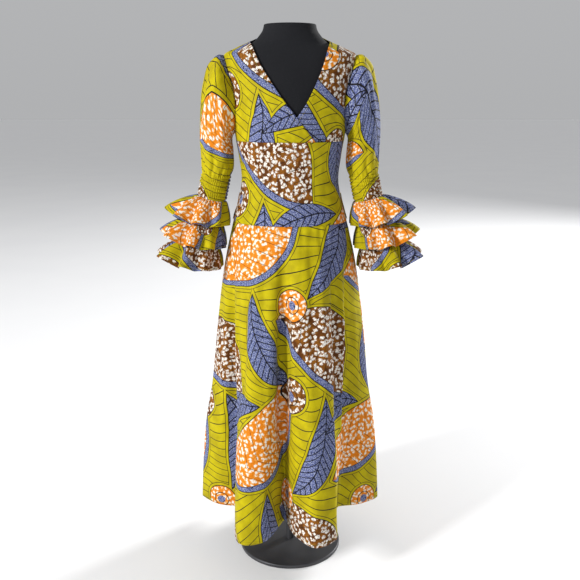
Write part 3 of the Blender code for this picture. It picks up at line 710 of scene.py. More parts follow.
def bodice_piece(name, grid, creases, hem, shift, turn, node, seed, tucked=False,
                 uneven=BODICE_UNEVEN):
    angle, height = grid[..., 0], grid[..., 1]
    points = body_point(angle, height)
    if tucked:
        points = points - body_normal(angle, height) * tuck(height, points)[..., None]
    u, v = np.radians(angle) * BODY_RADIUS, height
    points = pressed(points, u, v, creases)
    points = points + grid_normals(points) * (wavy(u, v, seed, 0.12) * uneven)[..., None]
    return make_cloth(name, points, lay_print(u, v, shift, turn), hem(points), node)


TUCK_EDGE, TUCK_TOP = 0.108, 1.375


def tuck(height, points):
    """How far the under panel goes in, where the other one lies over it."""
    covered = ease((TUCK_EDGE - points[..., 0]) / 0.035)
    return (CLOTH + LAYER_GAP) * covered * ease((TUCK_TOP - height) / 0.05)


def hem_none(points):
    return np.full((*points.shape[:2], 2), 1.0)


def hem_column(column):
    """A hem along one edge column."""

    def at(points):
        run = column_run(points)[:, [column]] * np.ones((1, points.shape[1]))
        inward = np.abs(edge_run(points) - edge_run(points)[:, [column]])
        return np.stack([run, inward], axis=-1)

    return at


def build_fronts():
    for hand, table, name, node, creases, shift, turn in (
        (-1, OVER_NECK, "front_over_cloth", "front_upper_over", FRONT_OVER_CREASES,
         (0.13, 0.05), 8),
        (1, UNDER_NECK, "front_under_cloth", "front_upper_under", FRONT_UNDER_CREASES,
         (0.30, 0.21), -12),
    ):
        side = side_edge(UNDERBUST + 0.5 * SEAM_GAP, 1, hand, True)
        neck = neck_edge(table, hand)
        grid = patch(side, neck, straight(side(0), neck(0)), straight(side(1), neck(1)), 60, 84)
        under = hand > 0
        if under:
            grid = grid[:, ::-1]
        piece = bodice_piece(name, grid, creases, hem_column(0 if under else -1), shift, turn, node,
                             seed=3 + hand, tucked=under)


def build_midriff():
    low, high = WAIST_SEAM + 0.5 * SEAM_GAP, UNDERBUST - 0.5 * SEAM_GAP
    side = seam_angle(90.0, low, -1)
    grid = np.stack(np.meshgrid(np.linspace(-side, side, 121), np.linspace(low, high, 61)), -1)
    piece = bodice_piece("midriff_cloth", grid, MIDRIFF_CREASES, hem_none, (0.02, 0.31), 4,
                         "midriff_front", seed=8)


BACK_CREASES = [
    (0.455, 1.080, 0.452, 1.190, 0.0090, 0.0042, 0.004),
    (0.425, 1.080, 0.415, 1.230, 0.0085, -0.0040, 0.006),
    (0.392, 1.080, 0.385, 1.180, 0.0085, 0.0040, -0.004),
    (0.362, 1.080, 0.350, 1.200, 0.0085, -0.0038, 0.005),
    (0.332, 1.080, 0.322, 1.150, 0.0080, 0.0034, 0.003),
    (0.490, 1.080, 0.498, 1.240, 0.0090, -0.0040, -0.005),
    (0.523, 1.080, 0.532, 1.170, 0.0085, 0.0040, 0.004),
    (0.553, 1.080, 0.566, 1.210, 0.0085, -0.0038, -0.005),
    (0.583, 1.080, 0.594, 1.150, 0.0080, 0.0034, -0.003),
    (0.330, 1.060, 0.400, 1.085, 0.0080, -0.0018, 0.006),
    (0.585, 1.075, 0.510, 1.100, 0.0080, -0.0018, -0.006),
    (0.300, 1.300, 0.350, 1.230, 0.0090, -0.0030, 0.006),
    (0.610, 1.300, 0.560, 1.235, 0.0090, -0.0030, -0.006),
    (0.360, 1.400, 0.400, 1.330, 0.0100, -0.0022, 0.006),
    (0.548, 1.400, 0.515, 1.340, 0.0100, -0.0022, -0.006),
]


SHOULDER_SHARE = 0.19  # of the back's top edge, for one shoulder seam


def build_back():
    low = WAIST_SEAM + 0.5 * SEAM_GAP
    near = side_edge(low, 4, 1, False)

    def far(v):
        angle, height = near(v)
        return 360 - angle, height

    def top(u):
        mirrored = u > 0.5
        s = 1 - u if mirrored else u
        start = near(1)
        if s < SHOULDER_SHARE:
            angle = start[0]
            height = start[1] + (SHOULDER_NECK - start[1]) * s / SHOULDER_SHARE
        else:
            t = (s - SHOULDER_SHARE) / (0.5 - SHOULDER_SHARE)
            angle = start[0] + (180 - start[0]) * t
            height = SHOULDER_NECK + (COLLAR_BACK - SHOULDER_NECK) * float(ease(2.2 * t))
        return (360 - angle if mirrored else angle), height

    grid = patch(near, far, straight(near(0), far(0)), top, 128, 128)

    def hem(points):
        total = column_run(points)
        inward = total[-1:] - total
        columns = np.linspace(0, 1, points.shape[1])
        collar = (columns > SHOULDER_SHARE) & (columns < 1 - SHOULDER_SHARE)
        inward = np.where(collar[None, :], inward, 1.0)
        return np.stack([edge_run(points)[-1:] * np.ones_like(total), inward], -1)

    piece = bodice_piece("back_cloth", grid, BACK_CREASES, hem, (0.21, 0.13), -6, "back_bodice",
                         seed=21, uneven=BACK_UNEVEN)


# Long folds, and soft breaks lower down. Here u runs along the waist seam, v down from it.
SKIRT_FRONT_CREASES = [
    (-0.165, 0.06, -0.262, 0.84, 0.0120, -0.0130, 0.010),
    (-0.130, 0.04, -0.210, 0.70, 0.0170, 0.0100, 0.008),
    (-0.098, 0.02, -0.140, 0.52, 0.0100, -0.0075, 0.004),
    (-0.055, 0.02, -0.075, 0.36, 0.0110, -0.0050, 0.003),
    (-0.012, 0.04, -0.020, 0.66, 0.0120, -0.0085, 0.004),
    (0.018, 0.04, 0.032, 0.60, 0.0150, 0.0070, 0.002),
    (0.045, 0.02, 0.062, 0.34, 0.0100, -0.0050, -0.003),
    (0.074, 0.02, 0.112, 0.50, 0.0110, 0.0070, 0.004),
    (0.108, 0.06, 0.172, 0.84, 0.0085, -0.0125, -0.006),
    (0.136, 0.04, 0.214, 0.76, 0.0150, 0.0100, -0.006),
    (0.165, 0.06, 0.252, 0.84, 0.0105, -0.0125, 0.006),
    (-0.290, 0.30, -0.190, 0.35, 0.0140, -0.0036, 0.012),
    (-0.320, 0.52, -0.230, 0.56, 0.0150, -0.0034, 0.014),
    (0.050, 0.60, 0.130, 0.64, 0.0150, -0.0030, -0.012),
    (-0.100, 0.45, -0.040, 0.48, 0.0130, -0.0030, 0.010),
    (0.270, 0.66, 0.360, 0.63, 0.0150, -0.0034, 0.010),
]
SKIRT_BACK_LEFT_CREASES = [
    (0.026, 0.04, 0.040, 0.60, 0.0120, -0.0090, 0.004),
    (0.066, 0.02, 0.082, 0.48, 0.0120, -0.0085, -0.004),
    (0.108, 0.01, 0.128, 0.52, 0.0130, 0.0100, 0.003),
    (0.140, 0.01, 0.176, 0.66, 0.0085, -0.0105, 0.002),
    (0.168, 0.01, 0.214, 0.60, 0.0140, 0.0105, 0.002),
    (0.194, 0.03, 0.252, 0.44, 0.0090, -0.0070, -0.003),
    (0.060, 0.34, 0.150, 0.37, 0.0140, -0.0034, 0.012),
    (0.130, 0.58, 0.270, 0.61, 0.0150, -0.0032, -0.012),
]
SKIRT_BACK_RIGHT_CREASES = [
    (0.008, 0.01, 0.012, 0.60, 0.0130, 0.0100, 0.003),
    (0.030, 0.01, 0.044, 0.68, 0.0085, -0.0110, 0.002),
    (0.056, 0.01, 0.078, 0.60, 0.0140, 0.0105, 0.002),
    (0.092, 0.02, 0.118, 0.52, 0.0120, -0.0085, 0.003),
    (0.134, 0.02, 0.176, 0.62, 0.0130, -0.0090, 0.002),
    (0.176, 0.04, 0.218, 0.44, 0.0110, -0.0070, -0.003),
    (0.080, 0.40, 0.160, 0.43, 0.0140, -0.0034, -0.010),
    (0.150, 0.66, 0.270, 0.63, 0.0150, -0.0032, 0.012),
]


SKIRT_SEAM = 0.06  # degrees that each panel stops short of its seam


def skirt_angles(start, end, count):
    """Angles at even steps along the hem, and the hem's length."""
    angles = np.linspace(start + SKIRT_SEAM, end - SKIRT_SEAM, 12 * count + 1)
    points = skirt_point(angles, np.full_like(angles, HEM))
    walked = np.concatenate([[0], np.cumsum(np.linalg.norm(np.diff(points, axis=0), axis=-1))])
    return np.interp(np.linspace(0, walked[-1], count + 1), walked, angles), walked[-1]


SKIRT_ROWS = 92
WAIST_GATHER_STEP = 0.021
WAIST_GATHER, SKIRT_UNEVEN = 0.0014, 0.0012
FOLDS_BY_FORM = 0.6  # what is left of a fold above the dress form's lower edge


def skirt_cloth(name, node, start, end, columns, creases, shift, turn, seed):
    """One flared panel, cut as a sector of a ring, and the area of that cut."""
    top = WAIST_SEAM - 0.5 * SEAM_GAP
    angles, hem_long = skirt_angles(start, end, columns)
    heights = HEM + (top - HEM) * np.linspace(0, 1, SKIRT_ROWS + 1)
    a, z = np.meshgrid(angles, heights)
    points = skirt_point(a, z)
    waist = skirt_point(angles, np.full_like(angles, top))
    waist_long = np.linalg.norm(np.diff(waist, axis=0), axis=-1).sum()
    down = np.linalg.norm(points[1:] - points[:-1], axis=-1).mean(axis=1)
    slant = np.concatenate([[0], np.cumsum(down)])
    length = slant[-1]
    from_waist = length - slant
    sector = (hem_long - waist_long) / length
    inner_radius = waist_long / sector
    walked = edge_run(points)
    share = walked / walked[:, -1:]
    middle = 0.5 if start == -90 else 0.0
    turned = (share - middle) * sector
    reach = (inner_radius + from_waist)[:, None]
    u = reach * np.sin(turned)
    v = inner_radius - reach * np.cos(turned)
    flat_u = (share - middle) * waist_long * (1 + 0.75 * (from_waist / length)[:, None])
    deep = np.repeat(from_waist[:, None], columns + 1, axis=1)
    # The side seams hold the folds, and the dress form inside leaves less room for them.
    edge = np.minimum(ease(share / 0.02), ease((1 - share) / 0.02))
    held = edge * (FOLDS_BY_FORM + (1 - FOLDS_BY_FORM) * ease((deep - 0.205) / 0.06))
    points = points + (pressed(points, flat_u, deep, creases) - points) * held[..., None]
    near_waist = np.exp(-deep / 0.055) * ease(deep / 0.012)
    gathers = np.sin(
        flat_u * 2 * math.pi / WAIST_GATHER_STEP + 2.0 * wavy(flat_u, deep * 0, seed, 0.1)
    )
    bumps = (
        WAIST_GATHER * gathers * near_waist
        + SKIRT_UNEVEN * wavy(u, v, seed + 1, 0.16) * ease(deep / 0.1)
    )
    points = points + grid_normals(points) * (bumps * edge)[..., None]
    up_from_hem = column_run(points)
    hem = np.stack([edge_run(points)[:1] * np.ones_like(deep), up_from_hem], -1)
    piece = make_cloth(name, points, lay_print(u, v, shift, turn), hem, node)
    return piece, 0.5 * (waist_long + hem_long) * length


def build_skirt():
    for name, node, start, end, columns, creases, shift, turn, seed in (
        ("skirt_front_cloth", "skirt_front", -90, 90, 360, SKIRT_FRONT_CREASES, (0.20, 0.17), 0,
         31),
        ("skirt_back_left_cloth", "skirt_back_left", 90, 180, 190, SKIRT_BACK_LEFT_CREASES,
         (0.05, 0.40), 5, 37),
        ("skirt_back_right_cloth", "skirt_back_right", 180, 270, 190, SKIRT_BACK_RIGHT_CREASES,
         (0.33, 0.30), -5, 41),
    ):
        piece, area = skirt_cloth(name, node, start, end, columns, creases, shift, turn, seed)
        wide = 1.30 if start == -90 else 0.68
        round(min(area, 0.98 * wide * 0.87), 3)


# The sleeve and its tiers are worked out on the wearer's left, and mirrored for the right.
def sleeve_point(near, far, half_depth, gather, turns):
    t = np.radians(turns)
    near, far = np.array(near, float), np.array(far, float)
    reach = 0.5 * (far - near)
    ripple = gather * np.cos(SLEEVE_GATHERS * t)
    out = reach / np.linalg.norm(reach)
    return (
        0.5 * (near + far)
        + reach * np.cos(t)[:, None] + out * (ripple * np.cos(t))[:, None]
        + np.array([0, -1.0, 0]) * ((half_depth + ripple) * np.sin(t))[:, None]
    )


def leaning_point(middle, half_width, half_depth, lean, turns):
    tip = math.radians(lean)
    reach = np.array([math.cos(tip), 0, math.sin(tip)]) * half_width
    return sleeve_point(middle - reach, middle + reach, half_depth, 0.0, turns)


def cuff_middle(down):
    tip = math.radians(CUFF_LEAN)
    return np.array([SMOCK_END[1] + down * math.sin(tip), 0, SMOCK_END[0] - down * math.cos(tip)])


def cuff_radii(down):
    spread = 0.006 * down / CUFF_LENGTH
    return CUFF_RADII[0] + spread, CUFF_RADII[1] + spread


def through_rings(rings, rows):
    """A smooth surface through a list of rings, at an even spacing down it."""
    rings = np.array(rings)
    gaps = np.linalg.norm(np.diff(rings, axis=0), axis=-1).mean(axis=1)
    at = np.concatenate([[0], np.cumsum(gaps)])
    slope = np.gradient(rings, at, axis=0)
    where = np.linspace(0, at[-1], rows)
    i = np.clip(np.searchsorted(at, where, side="right") - 1, 0, len(at) - 2)
    width = (at[i + 1] - at[i])[:, None, None]
    t = ((where - at[i]) / (at[i + 1] - at[i]))[:, None, None]
    p, q, m, n = rings[i], rings[i + 1], slope[i] * width, slope[i + 1] * width
    return (
        p * (1 + t * t * (2 * t - 3)) + q * t * t * (3 - 2 * t)
        + m * t * (1 - t) ** 2 - n * t * t * (1 - t)
    )


# Soft breaks of the full sleeve: u runs round the cut from the outer side, v down from the cap.
SLEEVE_CREASES = [
    (0.020, 0.030, 0.030, 0.110, 0.0070, -0.0040, 0.004),
    (-0.020, 0.030, -0.028, 0.100, 0.0070, -0.0038, -0.004),
    (0.058, 0.035, 0.070, 0.120, 0.0075, -0.0038, 0.005),
    (-0.060, 0.035, -0.075, 0.115, 0.0075, -0.0036, -0.005),
    (0.095, 0.050, 0.150, 0.085, 0.0085, -0.0036, 0.008),
    (-0.095, 0.050, -0.150, 0.090, 0.0085, -0.0034, -0.008),
    (0.040, 0.150, 0.130, 0.185, 0.0090, -0.0032, 0.010),
    (-0.030, 0.165, -0.120, 0.205, 0.0090, -0.0032, -0.010),
    (0.005, 0.245, 0.012, 0.180, 0.0060, -0.0036, 0.004),
    (0.040, 0.250, 0.036, 0.195, 0.0055, -0.0034, -0.003),
    (0.075, 0.250, 0.080, 0.185, 0.0060, -0.0036, 0.004),
    (-0.035, 0.250, -0.030, 0.190, 0.0055, -0.0036, 0.003),
    (-0.070, 0.250, -0.078, 0.200, 0.0060, -0.0034, -0.004),
    (-0.110, 0.250, -0.105, 0.195, 0.0060, -0.0036, 0.004),
    (0.112, 0.250, 0.120, 0.200, 0.0060, -0.0034, 0.003),
    (0.150, 0.250, 0.150, 0.200, 0.0060, -0.0030, 0.002),
    (-0.150, 0.250, -0.146, 0.205, 0.0060, -0.0030, 0.002),
]
SLEEVE_AROUND = 200
SLEEVE_CUT = 0.36
SMOCKED_ROWS = 7
ROWS_A_BAND = 8  # grid rows to each smocked row
PUCKERS = 46
HEAD_GATHER, FOOT_GATHER, GATHER_STEP = 0.0018, 0.0013, 0.017
HEAD_REACH, FOOT_REACH = 0.030, 0.022
SLEEVE_UNEVEN = 0.0009


def smooth_sleeve(turns):
    """Rows of points down the whole sleeve, and the numbers of the smocked band's two ends."""
    middle = body_point(90.0, 0.5 * (SHOULDER_TIP + ARMPIT))
    hole = np.array([body_point(*armhole(t)) for t in turns])
    rings = [hole + unit(middle - hole) * 2 * SEAM_GAP]
    for inner_x, inner_z, outer_x, outer_z, deep, gather in SLEEVE_RINGS:
        near, far = (inner_x, 0, inner_z), (outer_x, 0, outer_z)
        rings.append(sleeve_point(near, far, deep, gather, turns))
    start = np.array([SMOCK_TOP[1], 0, SMOCK_TOP[0]])
    end = np.array([SMOCK_END[1], 0, SMOCK_END[0]])
    rings.append(leaning_point(start, *SMOCK_RADII, 5, turns))
    upper = through_rings(rings, 64)
    count = ROWS_A_BAND * SMOCKED_ROWS + 1
    share = np.linspace(0, 1, count)
    smock = np.array([
        leaning_point(start + (end - start) * s, *SMOCK_RADII, 5 + (CUFF_LEAN - 5) * s, turns)
        for s in share
    ])
    t = np.radians(turns)
    rng = np.random.default_rng(5)
    shifts = 0.9 * rng.standard_normal((SMOCKED_ROWS, 1))
    puckers = 0.5 + 0.5 * np.cos(PUCKERS * t + shifts + 1.2 * np.sin(5 * t))
    out = unit(smock - np.array([start + (end - start) * s for s in share])[:, None])
    band = share * SMOCKED_ROWS
    number = np.minimum(band.astype(int), SMOCKED_ROWS - 1)
    puff = np.abs(np.sin(math.pi * band))[:, None] ** 0.6
    smock = smock + out * (SMOCK_PUFF * puff * (0.30 + 0.85 * puckers[number]))[..., None]
    cuff = np.array([
        leaning_point(cuff_middle(d), *cuff_radii(d), CUFF_LEAN, turns)
        for d in np.linspace(0.004, CUFF_LENGTH, 14)
    ])
    rows = np.concatenate([upper, smock[1:], cuff])
    return rows, len(upper), len(upper) + count - 1


def build_sleeve(side, hand, shift, turn):
    turns = np.linspace(0, 360, SLEEVE_AROUND, endpoint=False)
    rows, upper, smocked = smooth_sleeve(turns)
    down = np.concatenate([[0], np.cumsum(np.linalg.norm(np.diff(rows, axis=0), axis=-1).mean(1))])
    signed = (turns + 180) % 360 - 180
    u, v = np.meshgrid(signed / 360 * SLEEVE_CUT, down)
    rows = pressed(rows, u, v, SLEEVE_CREASES, closed=True)
    head = np.exp(-v / HEAD_REACH) * ease(v / 0.006) * (0.5 + 0.5 * np.cos(np.radians(turns)))
    foot = np.exp(-((v - down[upper]) / FOOT_REACH) ** 2) * (v < down[upper])
    ripple = np.cos(2 * math.pi * u / GATHER_STEP + 1.5 * np.sin(u * 30))
    ripple = ripple * (HEAD_GATHER * head + FOOT_GATHER * foot)
    calm = SLEEVE_UNEVEN * wavy(u, v, 50 + hand, 0.07)
    calm = calm * ease(v / 0.03) * ease((down[upper] - v) / 0.03)
    rows = rows + grid_normals(rows, True) * (ripple + calm)[..., None]
    rows[..., 0] *= hand
    wide = np.linspace(0, SLEEVE_CUT, SLEEVE_AROUND + 1)
    cut_u, cut_v = np.meshgrid(wide, -down)
    hem = np.full((*cut_u.shape, 2), 1.0)
    # An elastic thread is stitched along each groove of the smocked band.
    groove = (down[smocked] - down[upper - 1]) / SMOCKED_ROWS
    band = slice(upper - 1, smocked)
    along = (down[band] - down[upper - 1]) / groove
    hem[band, :, 0] = wide
    hem[band, :, 1] = (STITCH_INSET + np.abs(along - np.round(along)) * groove)[:, None]
    piece = make_cloth(f"sleeve_{side}_cloth", rows, lay_print(cut_u, cut_v, shift, turn), hem,
                       f"sleeve_{side}", closed=True, flip=hand < 0)


def tier_point(tier, turns, share):
    """A gathered tier leaves its seam like a bell and hangs in waves. Share runs down it."""
    sewn_at, drop, flare, outward, wave, waves, start = tier
    t, start = np.radians(turns), math.radians(start)
    first, last = (math.radians(a) for a in TIER_ARC)
    at = first + (last - first) * share
    full_out = flare + outward * np.cos(t)
    full_fall = np.sqrt((drop / TIER_SLACK) ** 2 - full_out**2)
    full_fall = full_fall - 0.5 * TIER_HELD * (1 - np.cos(t))
    reach = full_out * (math.sin(at) - math.sin(first)) / (1 - math.sin(first))
    fall = full_fall * (math.cos(first) - math.cos(at)) / (math.cos(first) - math.cos(last))
    beat = waves * t + start
    ripple = (wave + TIER_OUT_WAVE * outward * np.cos(t)) * share**TIER_DEEPENING
    size, fewer, turned, ahead = TIER_UNEVEN
    ripple = ripple * (
        np.cos(beat) - 0.10 * np.cos(2 * beat)
        + size * np.cos((waves - fewer) * t + turned * start + ahead)
    )
    down = sewn_at + fall - TIER_HEM_LIFT * ripple * share
    tip = math.radians(CUFF_LEAN)
    way = np.array([math.cos(tip), 0, math.sin(tip)])
    across, deep = cuff_radii(sewn_at)
    outer = SEAM_GAP + 0.8 * CLOTH + reach + ripple
    middle = np.stack([SMOCK_END[1] + down * math.sin(tip), np.zeros_like(down),
                       SMOCK_END[0] - down * math.cos(tip)], axis=-1)
    point = (
        middle + way * ((across + outer) * np.cos(t))[:, None]
        + np.array([0, -1.0, 0]) * ((deep + outer) * np.sin(t))[:, None]
    )
    round_skirt = np.sqrt(np.maximum(0.0, 1 - (point[:, 1] / SKIRT_HALF_DEPTH) ** 2))
    beside = SKIRT[0](point[:, 2]) * round_skirt
    point[:, 0] = np.maximum(point[:, 0], beside + SKIRT_CLEARANCE + CLOTH)
    return point


TIER_AROUND = 300
TIER_CUT = (0.78, 0.10)
TIER_GATHER, TIER_FINE = 0.0017, 0.0010


def build_tier(side, hand, number, values, shift, turn):
    turns = np.linspace(0, 360, TIER_AROUND, endpoint=False)
    shares = np.concatenate([np.linspace(0, 0.2, 9)[:-1], np.linspace(0.2, 1, 22)])
    rows = np.array([tier_point(values, turns, s) for s in shares])
    down = column_run(rows)
    around, share = np.radians(turns)[None, :], shares[:, None]
    seed, waves = 70 + 10 * number + hand, values[5]
    gathers = np.cos(4.0 * waves * around + 1.4 * np.sin(3 * around + seed))
    near_top = np.exp(-((share - 0.12) / 0.20) ** 2) * ease(share / 0.05)
    fine = np.cos(2.6 * waves * around + 2.2 * np.sin(2 * around + 0.7 * seed))
    push = TIER_GATHER * gathers * near_top + TIER_FINE * fine * share**1.5
    rows = rows + grid_normals(rows, True) * push[..., None]
    rows[..., 0] *= hand
    along = np.linspace(0, TIER_CUT[0], TIER_AROUND + 1)
    cut = lay_print(*np.meshgrid(along, -TIER_CUT[1] * shares), shift, turn)
    hem = np.stack(np.meshgrid(along, (down[-1:] - down).mean(axis=1) + 0.003), -1)
    piece = make_cloth(f"ruffle_{side}_{number}_cloth", rows, cut, hem, f"ruffle_{side}_{number}",
                       closed=True, flip=hand < 0)


# The belt, and the bow on the middle of the back. The knot's place is its x and height.
KNOT = (0.0105, 1.037)
KNOT_HALF = (0.0165, 0.011, 0.020)
EDGE_BY_FOLD = 0.0045  # puts the stitches 4 mm from a folded edge
BELT_LIFT = LAYER_GAP + CLOTH
BELT_HALF = 0.5 * (BELT_TOP - WAIST_SEAM)


def back_angle(x, height):
    return 180 - np.degrees(np.arcsin(x / BODY[0](height)))


def off_back(x, height, stand):
    """A place that stands off the back of the body."""
    x, height, stand = np.broadcast_arrays(*(np.asarray(n, float) for n in (x, height, stand)))
    angle = back_angle(x, height)
    return body_point(angle, height) + body_normal(angle, height) * stand[..., None]


BELT_PLEAT, BELT_UNEVEN = 0.0013, 0.0009


def build_belt(side, hand, shift):
    middle = 0.5 * (BELT_TOP + WAIST_SEAM)
    start = 180 - hand * 89.0
    end = float(back_angle(KNOT[0] + hand * 0.003, KNOT[1]))
    share = np.linspace(0, 1, 111)[None, :]
    k = np.linspace(-1, 1, 37)[:, None]
    narrow = 0.92 - 0.62 * ease(1.25 * share - 0.1)
    height = middle + (KNOT[1] - middle) * ease(share) + k * BELT_HALF * narrow
    angle = start + (end - start) * share + 0 * k
    pleats = np.cos(math.pi * 3.4 * k + 0.6 * np.sin(5 * share) + 0.3)
    lift = BELT_LIFT + BELT_PLEAT * pleats * ease(2.2 * share - 0.5) * (1 - k**4)
    lift = lift + BELT_UNEVEN * wavy(share * 0.2, k * 0.04, 91 + hand, 0.05) * (1 - k**4)
    points = body_point(angle, height) + body_normal(angle, height) * lift[..., None]
    u, v = share * 0.21 + 0 * k, k * BELT_HALF * 0.95 + 0 * share
    inward = (1 - np.abs(k)) * BELT_HALF * narrow + EDGE_BY_FOLD
    if hand < 0:
        points, u, inward = points[:, ::-1], u[:, ::-1], inward[:, ::-1]
    piece = make_cloth(f"belt_{side}_cloth", points, lay_print(u, v, shift, 0),
                       np.stack([u, inward], -1), f"belt_{side}")


def squared(a, power):
    """Draws a round form out towards a block."""
    return np.sign(a) * np.abs(a) ** power


def build_knot():
    """A soft wrapped knot: a rounded block, drawn in by the folds that wrap it."""
    around, rows = 96, 49
    t = np.linspace(0, 2 * math.pi, around, endpoint=False)[None, :]
    p = np.linspace(-0.5 * math.pi + 0.02, 0.5 * math.pi - 0.02, rows)[:, None]
    a = squared(np.cos(p), 0.45) * squared(np.cos(t), 0.50)
    b = squared(np.cos(p), 0.45) * squared(np.sin(t), 0.50)
    c = squared(np.sin(p), 0.50) + 0 * t
    folds = 1 - 0.075 * (0.5 + 0.5 * np.cos(5.2 * (c * 1.1 + 0.35 * a) + 0.8))
    folds = folds - 0.05 * np.exp(-((a - 0.3 + 0.25 * c) / 0.16) ** 2)
    a, b, c = a * folds, b * folds, c * (1 - 0.04 * np.cos(3 * t))
    points = off_back(KNOT[0] + a * KNOT_HALF[0], KNOT[1] + c * KNOT_HALF[2],
                      BELT_LIFT + 0.0008 + KNOT_HALF[1] * (1 + b))
    cut = lay_print(*np.meshgrid(np.linspace(0, 0.09, around + 1), 0.02 * p), (0.09, 0.14), 30)
    piece = make_cloth("belt_knot_cloth", points, cut, hem_none(cut), "belt_knot", closed=True,
                       flip=True)


# Side, hand, reach, half height near and far from the knot, how open, how far it hangs.
BOW_LOOPS = [
    ("left", 1, 0.088, 0.013, 0.027, 0.024, -0.006),
    ("right", -1, 0.066, 0.016, 0.030, 0.026, 0.008),
]


LOOP_BESIDE, LOOP_SEAT, LOOP_PROUD = 0.0019, 0.0028, 0.004
LOOP_PRESSED = 0.35  # how much of the opening is left at the knot
LOOP_PLEAT = 0.0014


def build_loop(values, shift):
    side, hand, reach, near_half, far_half, opened, sag = values
    around = 120
    root = KNOT[0] + hand * (KNOT_HALF[0] + LOOP_BESIDE)
    seat = BELT_LIFT + LOOP_SEAT
    t = np.linspace(0, 2 * math.pi, around, endpoint=False)[None, :]
    k = np.linspace(-1, 1, 33)[:, None]
    along = 0.5 * (1 - np.cos(t))
    gape = 0.5 * opened * (LOOP_PRESSED + (1 - LOOP_PRESSED) * along)
    half = near_half + (far_half - near_half) * ease(along)
    height = KNOT[1] - sag * along + k * half * (1 - 0.10 * along * k)
    pleats = LOOP_PLEAT * np.cos(2.6 * math.pi * k + 0.8) * (1 - along) ** 0.7
    stand = seat + gape + LOOP_PROUD * (1 - along) + gape * np.sin(t)
    stand = stand + pleats * squared(np.sin(t), 0.5)
    points = off_back(root + hand * reach * along, height, stand)
    u, v = np.meshgrid(np.linspace(0, 2 * reach, around + 1), k * far_half)
    half_wide = np.concatenate([half, half[:, :1]], axis=1)
    inward = (1 - np.abs(k)) * half_wide + EDGE_BY_FOLD
    piece = make_cloth(f"bow_loop_{side}_cloth", points, lay_print(u, v, shift, 12),
                       np.stack([u, inward], -1), f"bow_loop_{side}", closed=True, flip=hand < 0)


# Side, x at the knot and at the end, height of the end, half width at the knot and at the end.
BELT_TAILS = [
    ("left", 0.0200, 0.055, 0.802, 0.0045, 0.0100),
    ("right", 0.0020, -0.038, 0.862, 0.0065, 0.0130),
]


TAIL_STAND, TAIL_START, TAIL_CURL, TAIL_EDGE = 0.0040, 0.008, 0.003, 0.0050
TAIL_UNDER_KNOT = 0.0028


def tail_depth(x, height):
    """The y of what a tail hangs against: the back, and below the waist the skirt's folds."""
    above = np.maximum(height, WAIST_SEAM)
    over = body_point(back_angle(x, above), above)[..., 1]
    share = x / SKIRT[0](height)
    plain = SKIRT[2](height) * np.sqrt(1 - share * share)
    under = plain * (1 + 0.10 * ease((WAIST_SEAM - height) / 0.16))
    return np.where(height > WAIST_SEAM, over, under)


def build_tail(values, shift):
    side, start_x, end_x, bottom, start_half, end_half = values
    top = KNOT[1] - KNOT_HALF[2] + TAIL_UNDER_KNOT
    share = np.linspace(0, 1, 90)[:, None]
    k = np.linspace(-1, 1, 15)[None, :]
    height = top + (bottom - top) * share + 0 * k
    middle = start_x + (end_x - start_x) * ease(share)
    half = start_half + (end_half - start_half) * ease(2.2 * share)
    x = middle + k * half
    curl = TAIL_CURL * (1 - k * k) + 0.0012 * np.sin(9 * share + 2 * k) * ease(3 * share)
    stand = BELT_LIFT + TAIL_STAND + TAIL_START * (1 - ease(4 * share))
    points = np.stack([x, tail_depth(x, height) + stand + curl, height - 0.006 * k * share**6], -1)
    u, v = np.meshgrid(k * 0.013, -0.24 * share)
    inward = np.minimum((1 - np.abs(k)) * half, (1 - share) * 0.2) + TAIL_EDGE
    piece = make_cloth(f"belt_tail_{side}_cloth", points, lay_print(u, v, shift, 90),
                       np.stack([v, inward], -1), f"belt_tail_{side}")


def plain_piece(name, points, node, finish):
    """A closed turned shape from rings, for the dress form and its stand."""
    rows, columns = points.shape[:2]
    faces = quads(rows, columns, columns).tolist()
    faces.append(list(range(columns))[::-1])
    faces.append([(rows - 1) * columns + i for i in range(columns)])
    mesh = bpy.data.meshes.new(name)
    mesh.from_pydata(points.reshape(-1, 3).tolist(), [], faces)
    mesh.shade_smooth()
    mesh.set_sharp_from_angle(angle=math.radians(50))
    show(name, mesh, node, finish)


FORM_FOOT, FORM_TOP = 0.780, 1.497
FOOT_ROUNDING, TOP_ROUNDING = 0.045, 0.05  # the share that each rounded edge draws in


def build_form():
    angles = np.linspace(0, 360, 144, endpoint=False)
    heights = np.concatenate([np.linspace(0.787, 1.38, 60), np.linspace(1.385, 1.495, 45)])
    rings = [body_point(angles, z) - body_normal(angles, z) * float(SLACK(z)) for z in heights]
    low, high = rings[0], rings[-1]
    foot, top = [], []
    for share in (0.0, 0.35, 0.7):
        ring = low.copy()
        ring[:, :2] *= 1 - FOOT_ROUNDING * (1 - math.sin(0.5 * math.pi * share))
        ring[:, 2] = FORM_FOOT + (low[:, 2] - FORM_FOOT) * share
        foot.append(ring)
    for share in (0.35, 0.7, 1.0):
        ring = high.copy()
        ring[:, :2] *= 1 - TOP_ROUNDING * (1 - math.cos(0.5 * math.pi * share))
        ring[:, 2] = high[:, 2] + (FORM_TOP - high[:, 2]) * math.sin(0.5 * math.pi * share)
        top.append(ring)
    plain_piece("dress_form_cloth", np.array(foot + rings + top), "dress_form_torso", JERSEY)


def turned(name, node, profile, around=128):
    t = np.linspace(0, 2 * math.pi, around, endpoint=False)
    points = np.array([
        np.stack([r * np.cos(t), r * np.sin(t), np.full_like(t, z)], -1) for r, z in profile
    ])
    plain_piece(name, points, node, STEEL)


POLE_RADIUS, BASE_RADIUS, BASE_TOP, BASE_ROUNDING = 0.0125, 0.150, 0.010, 0.003


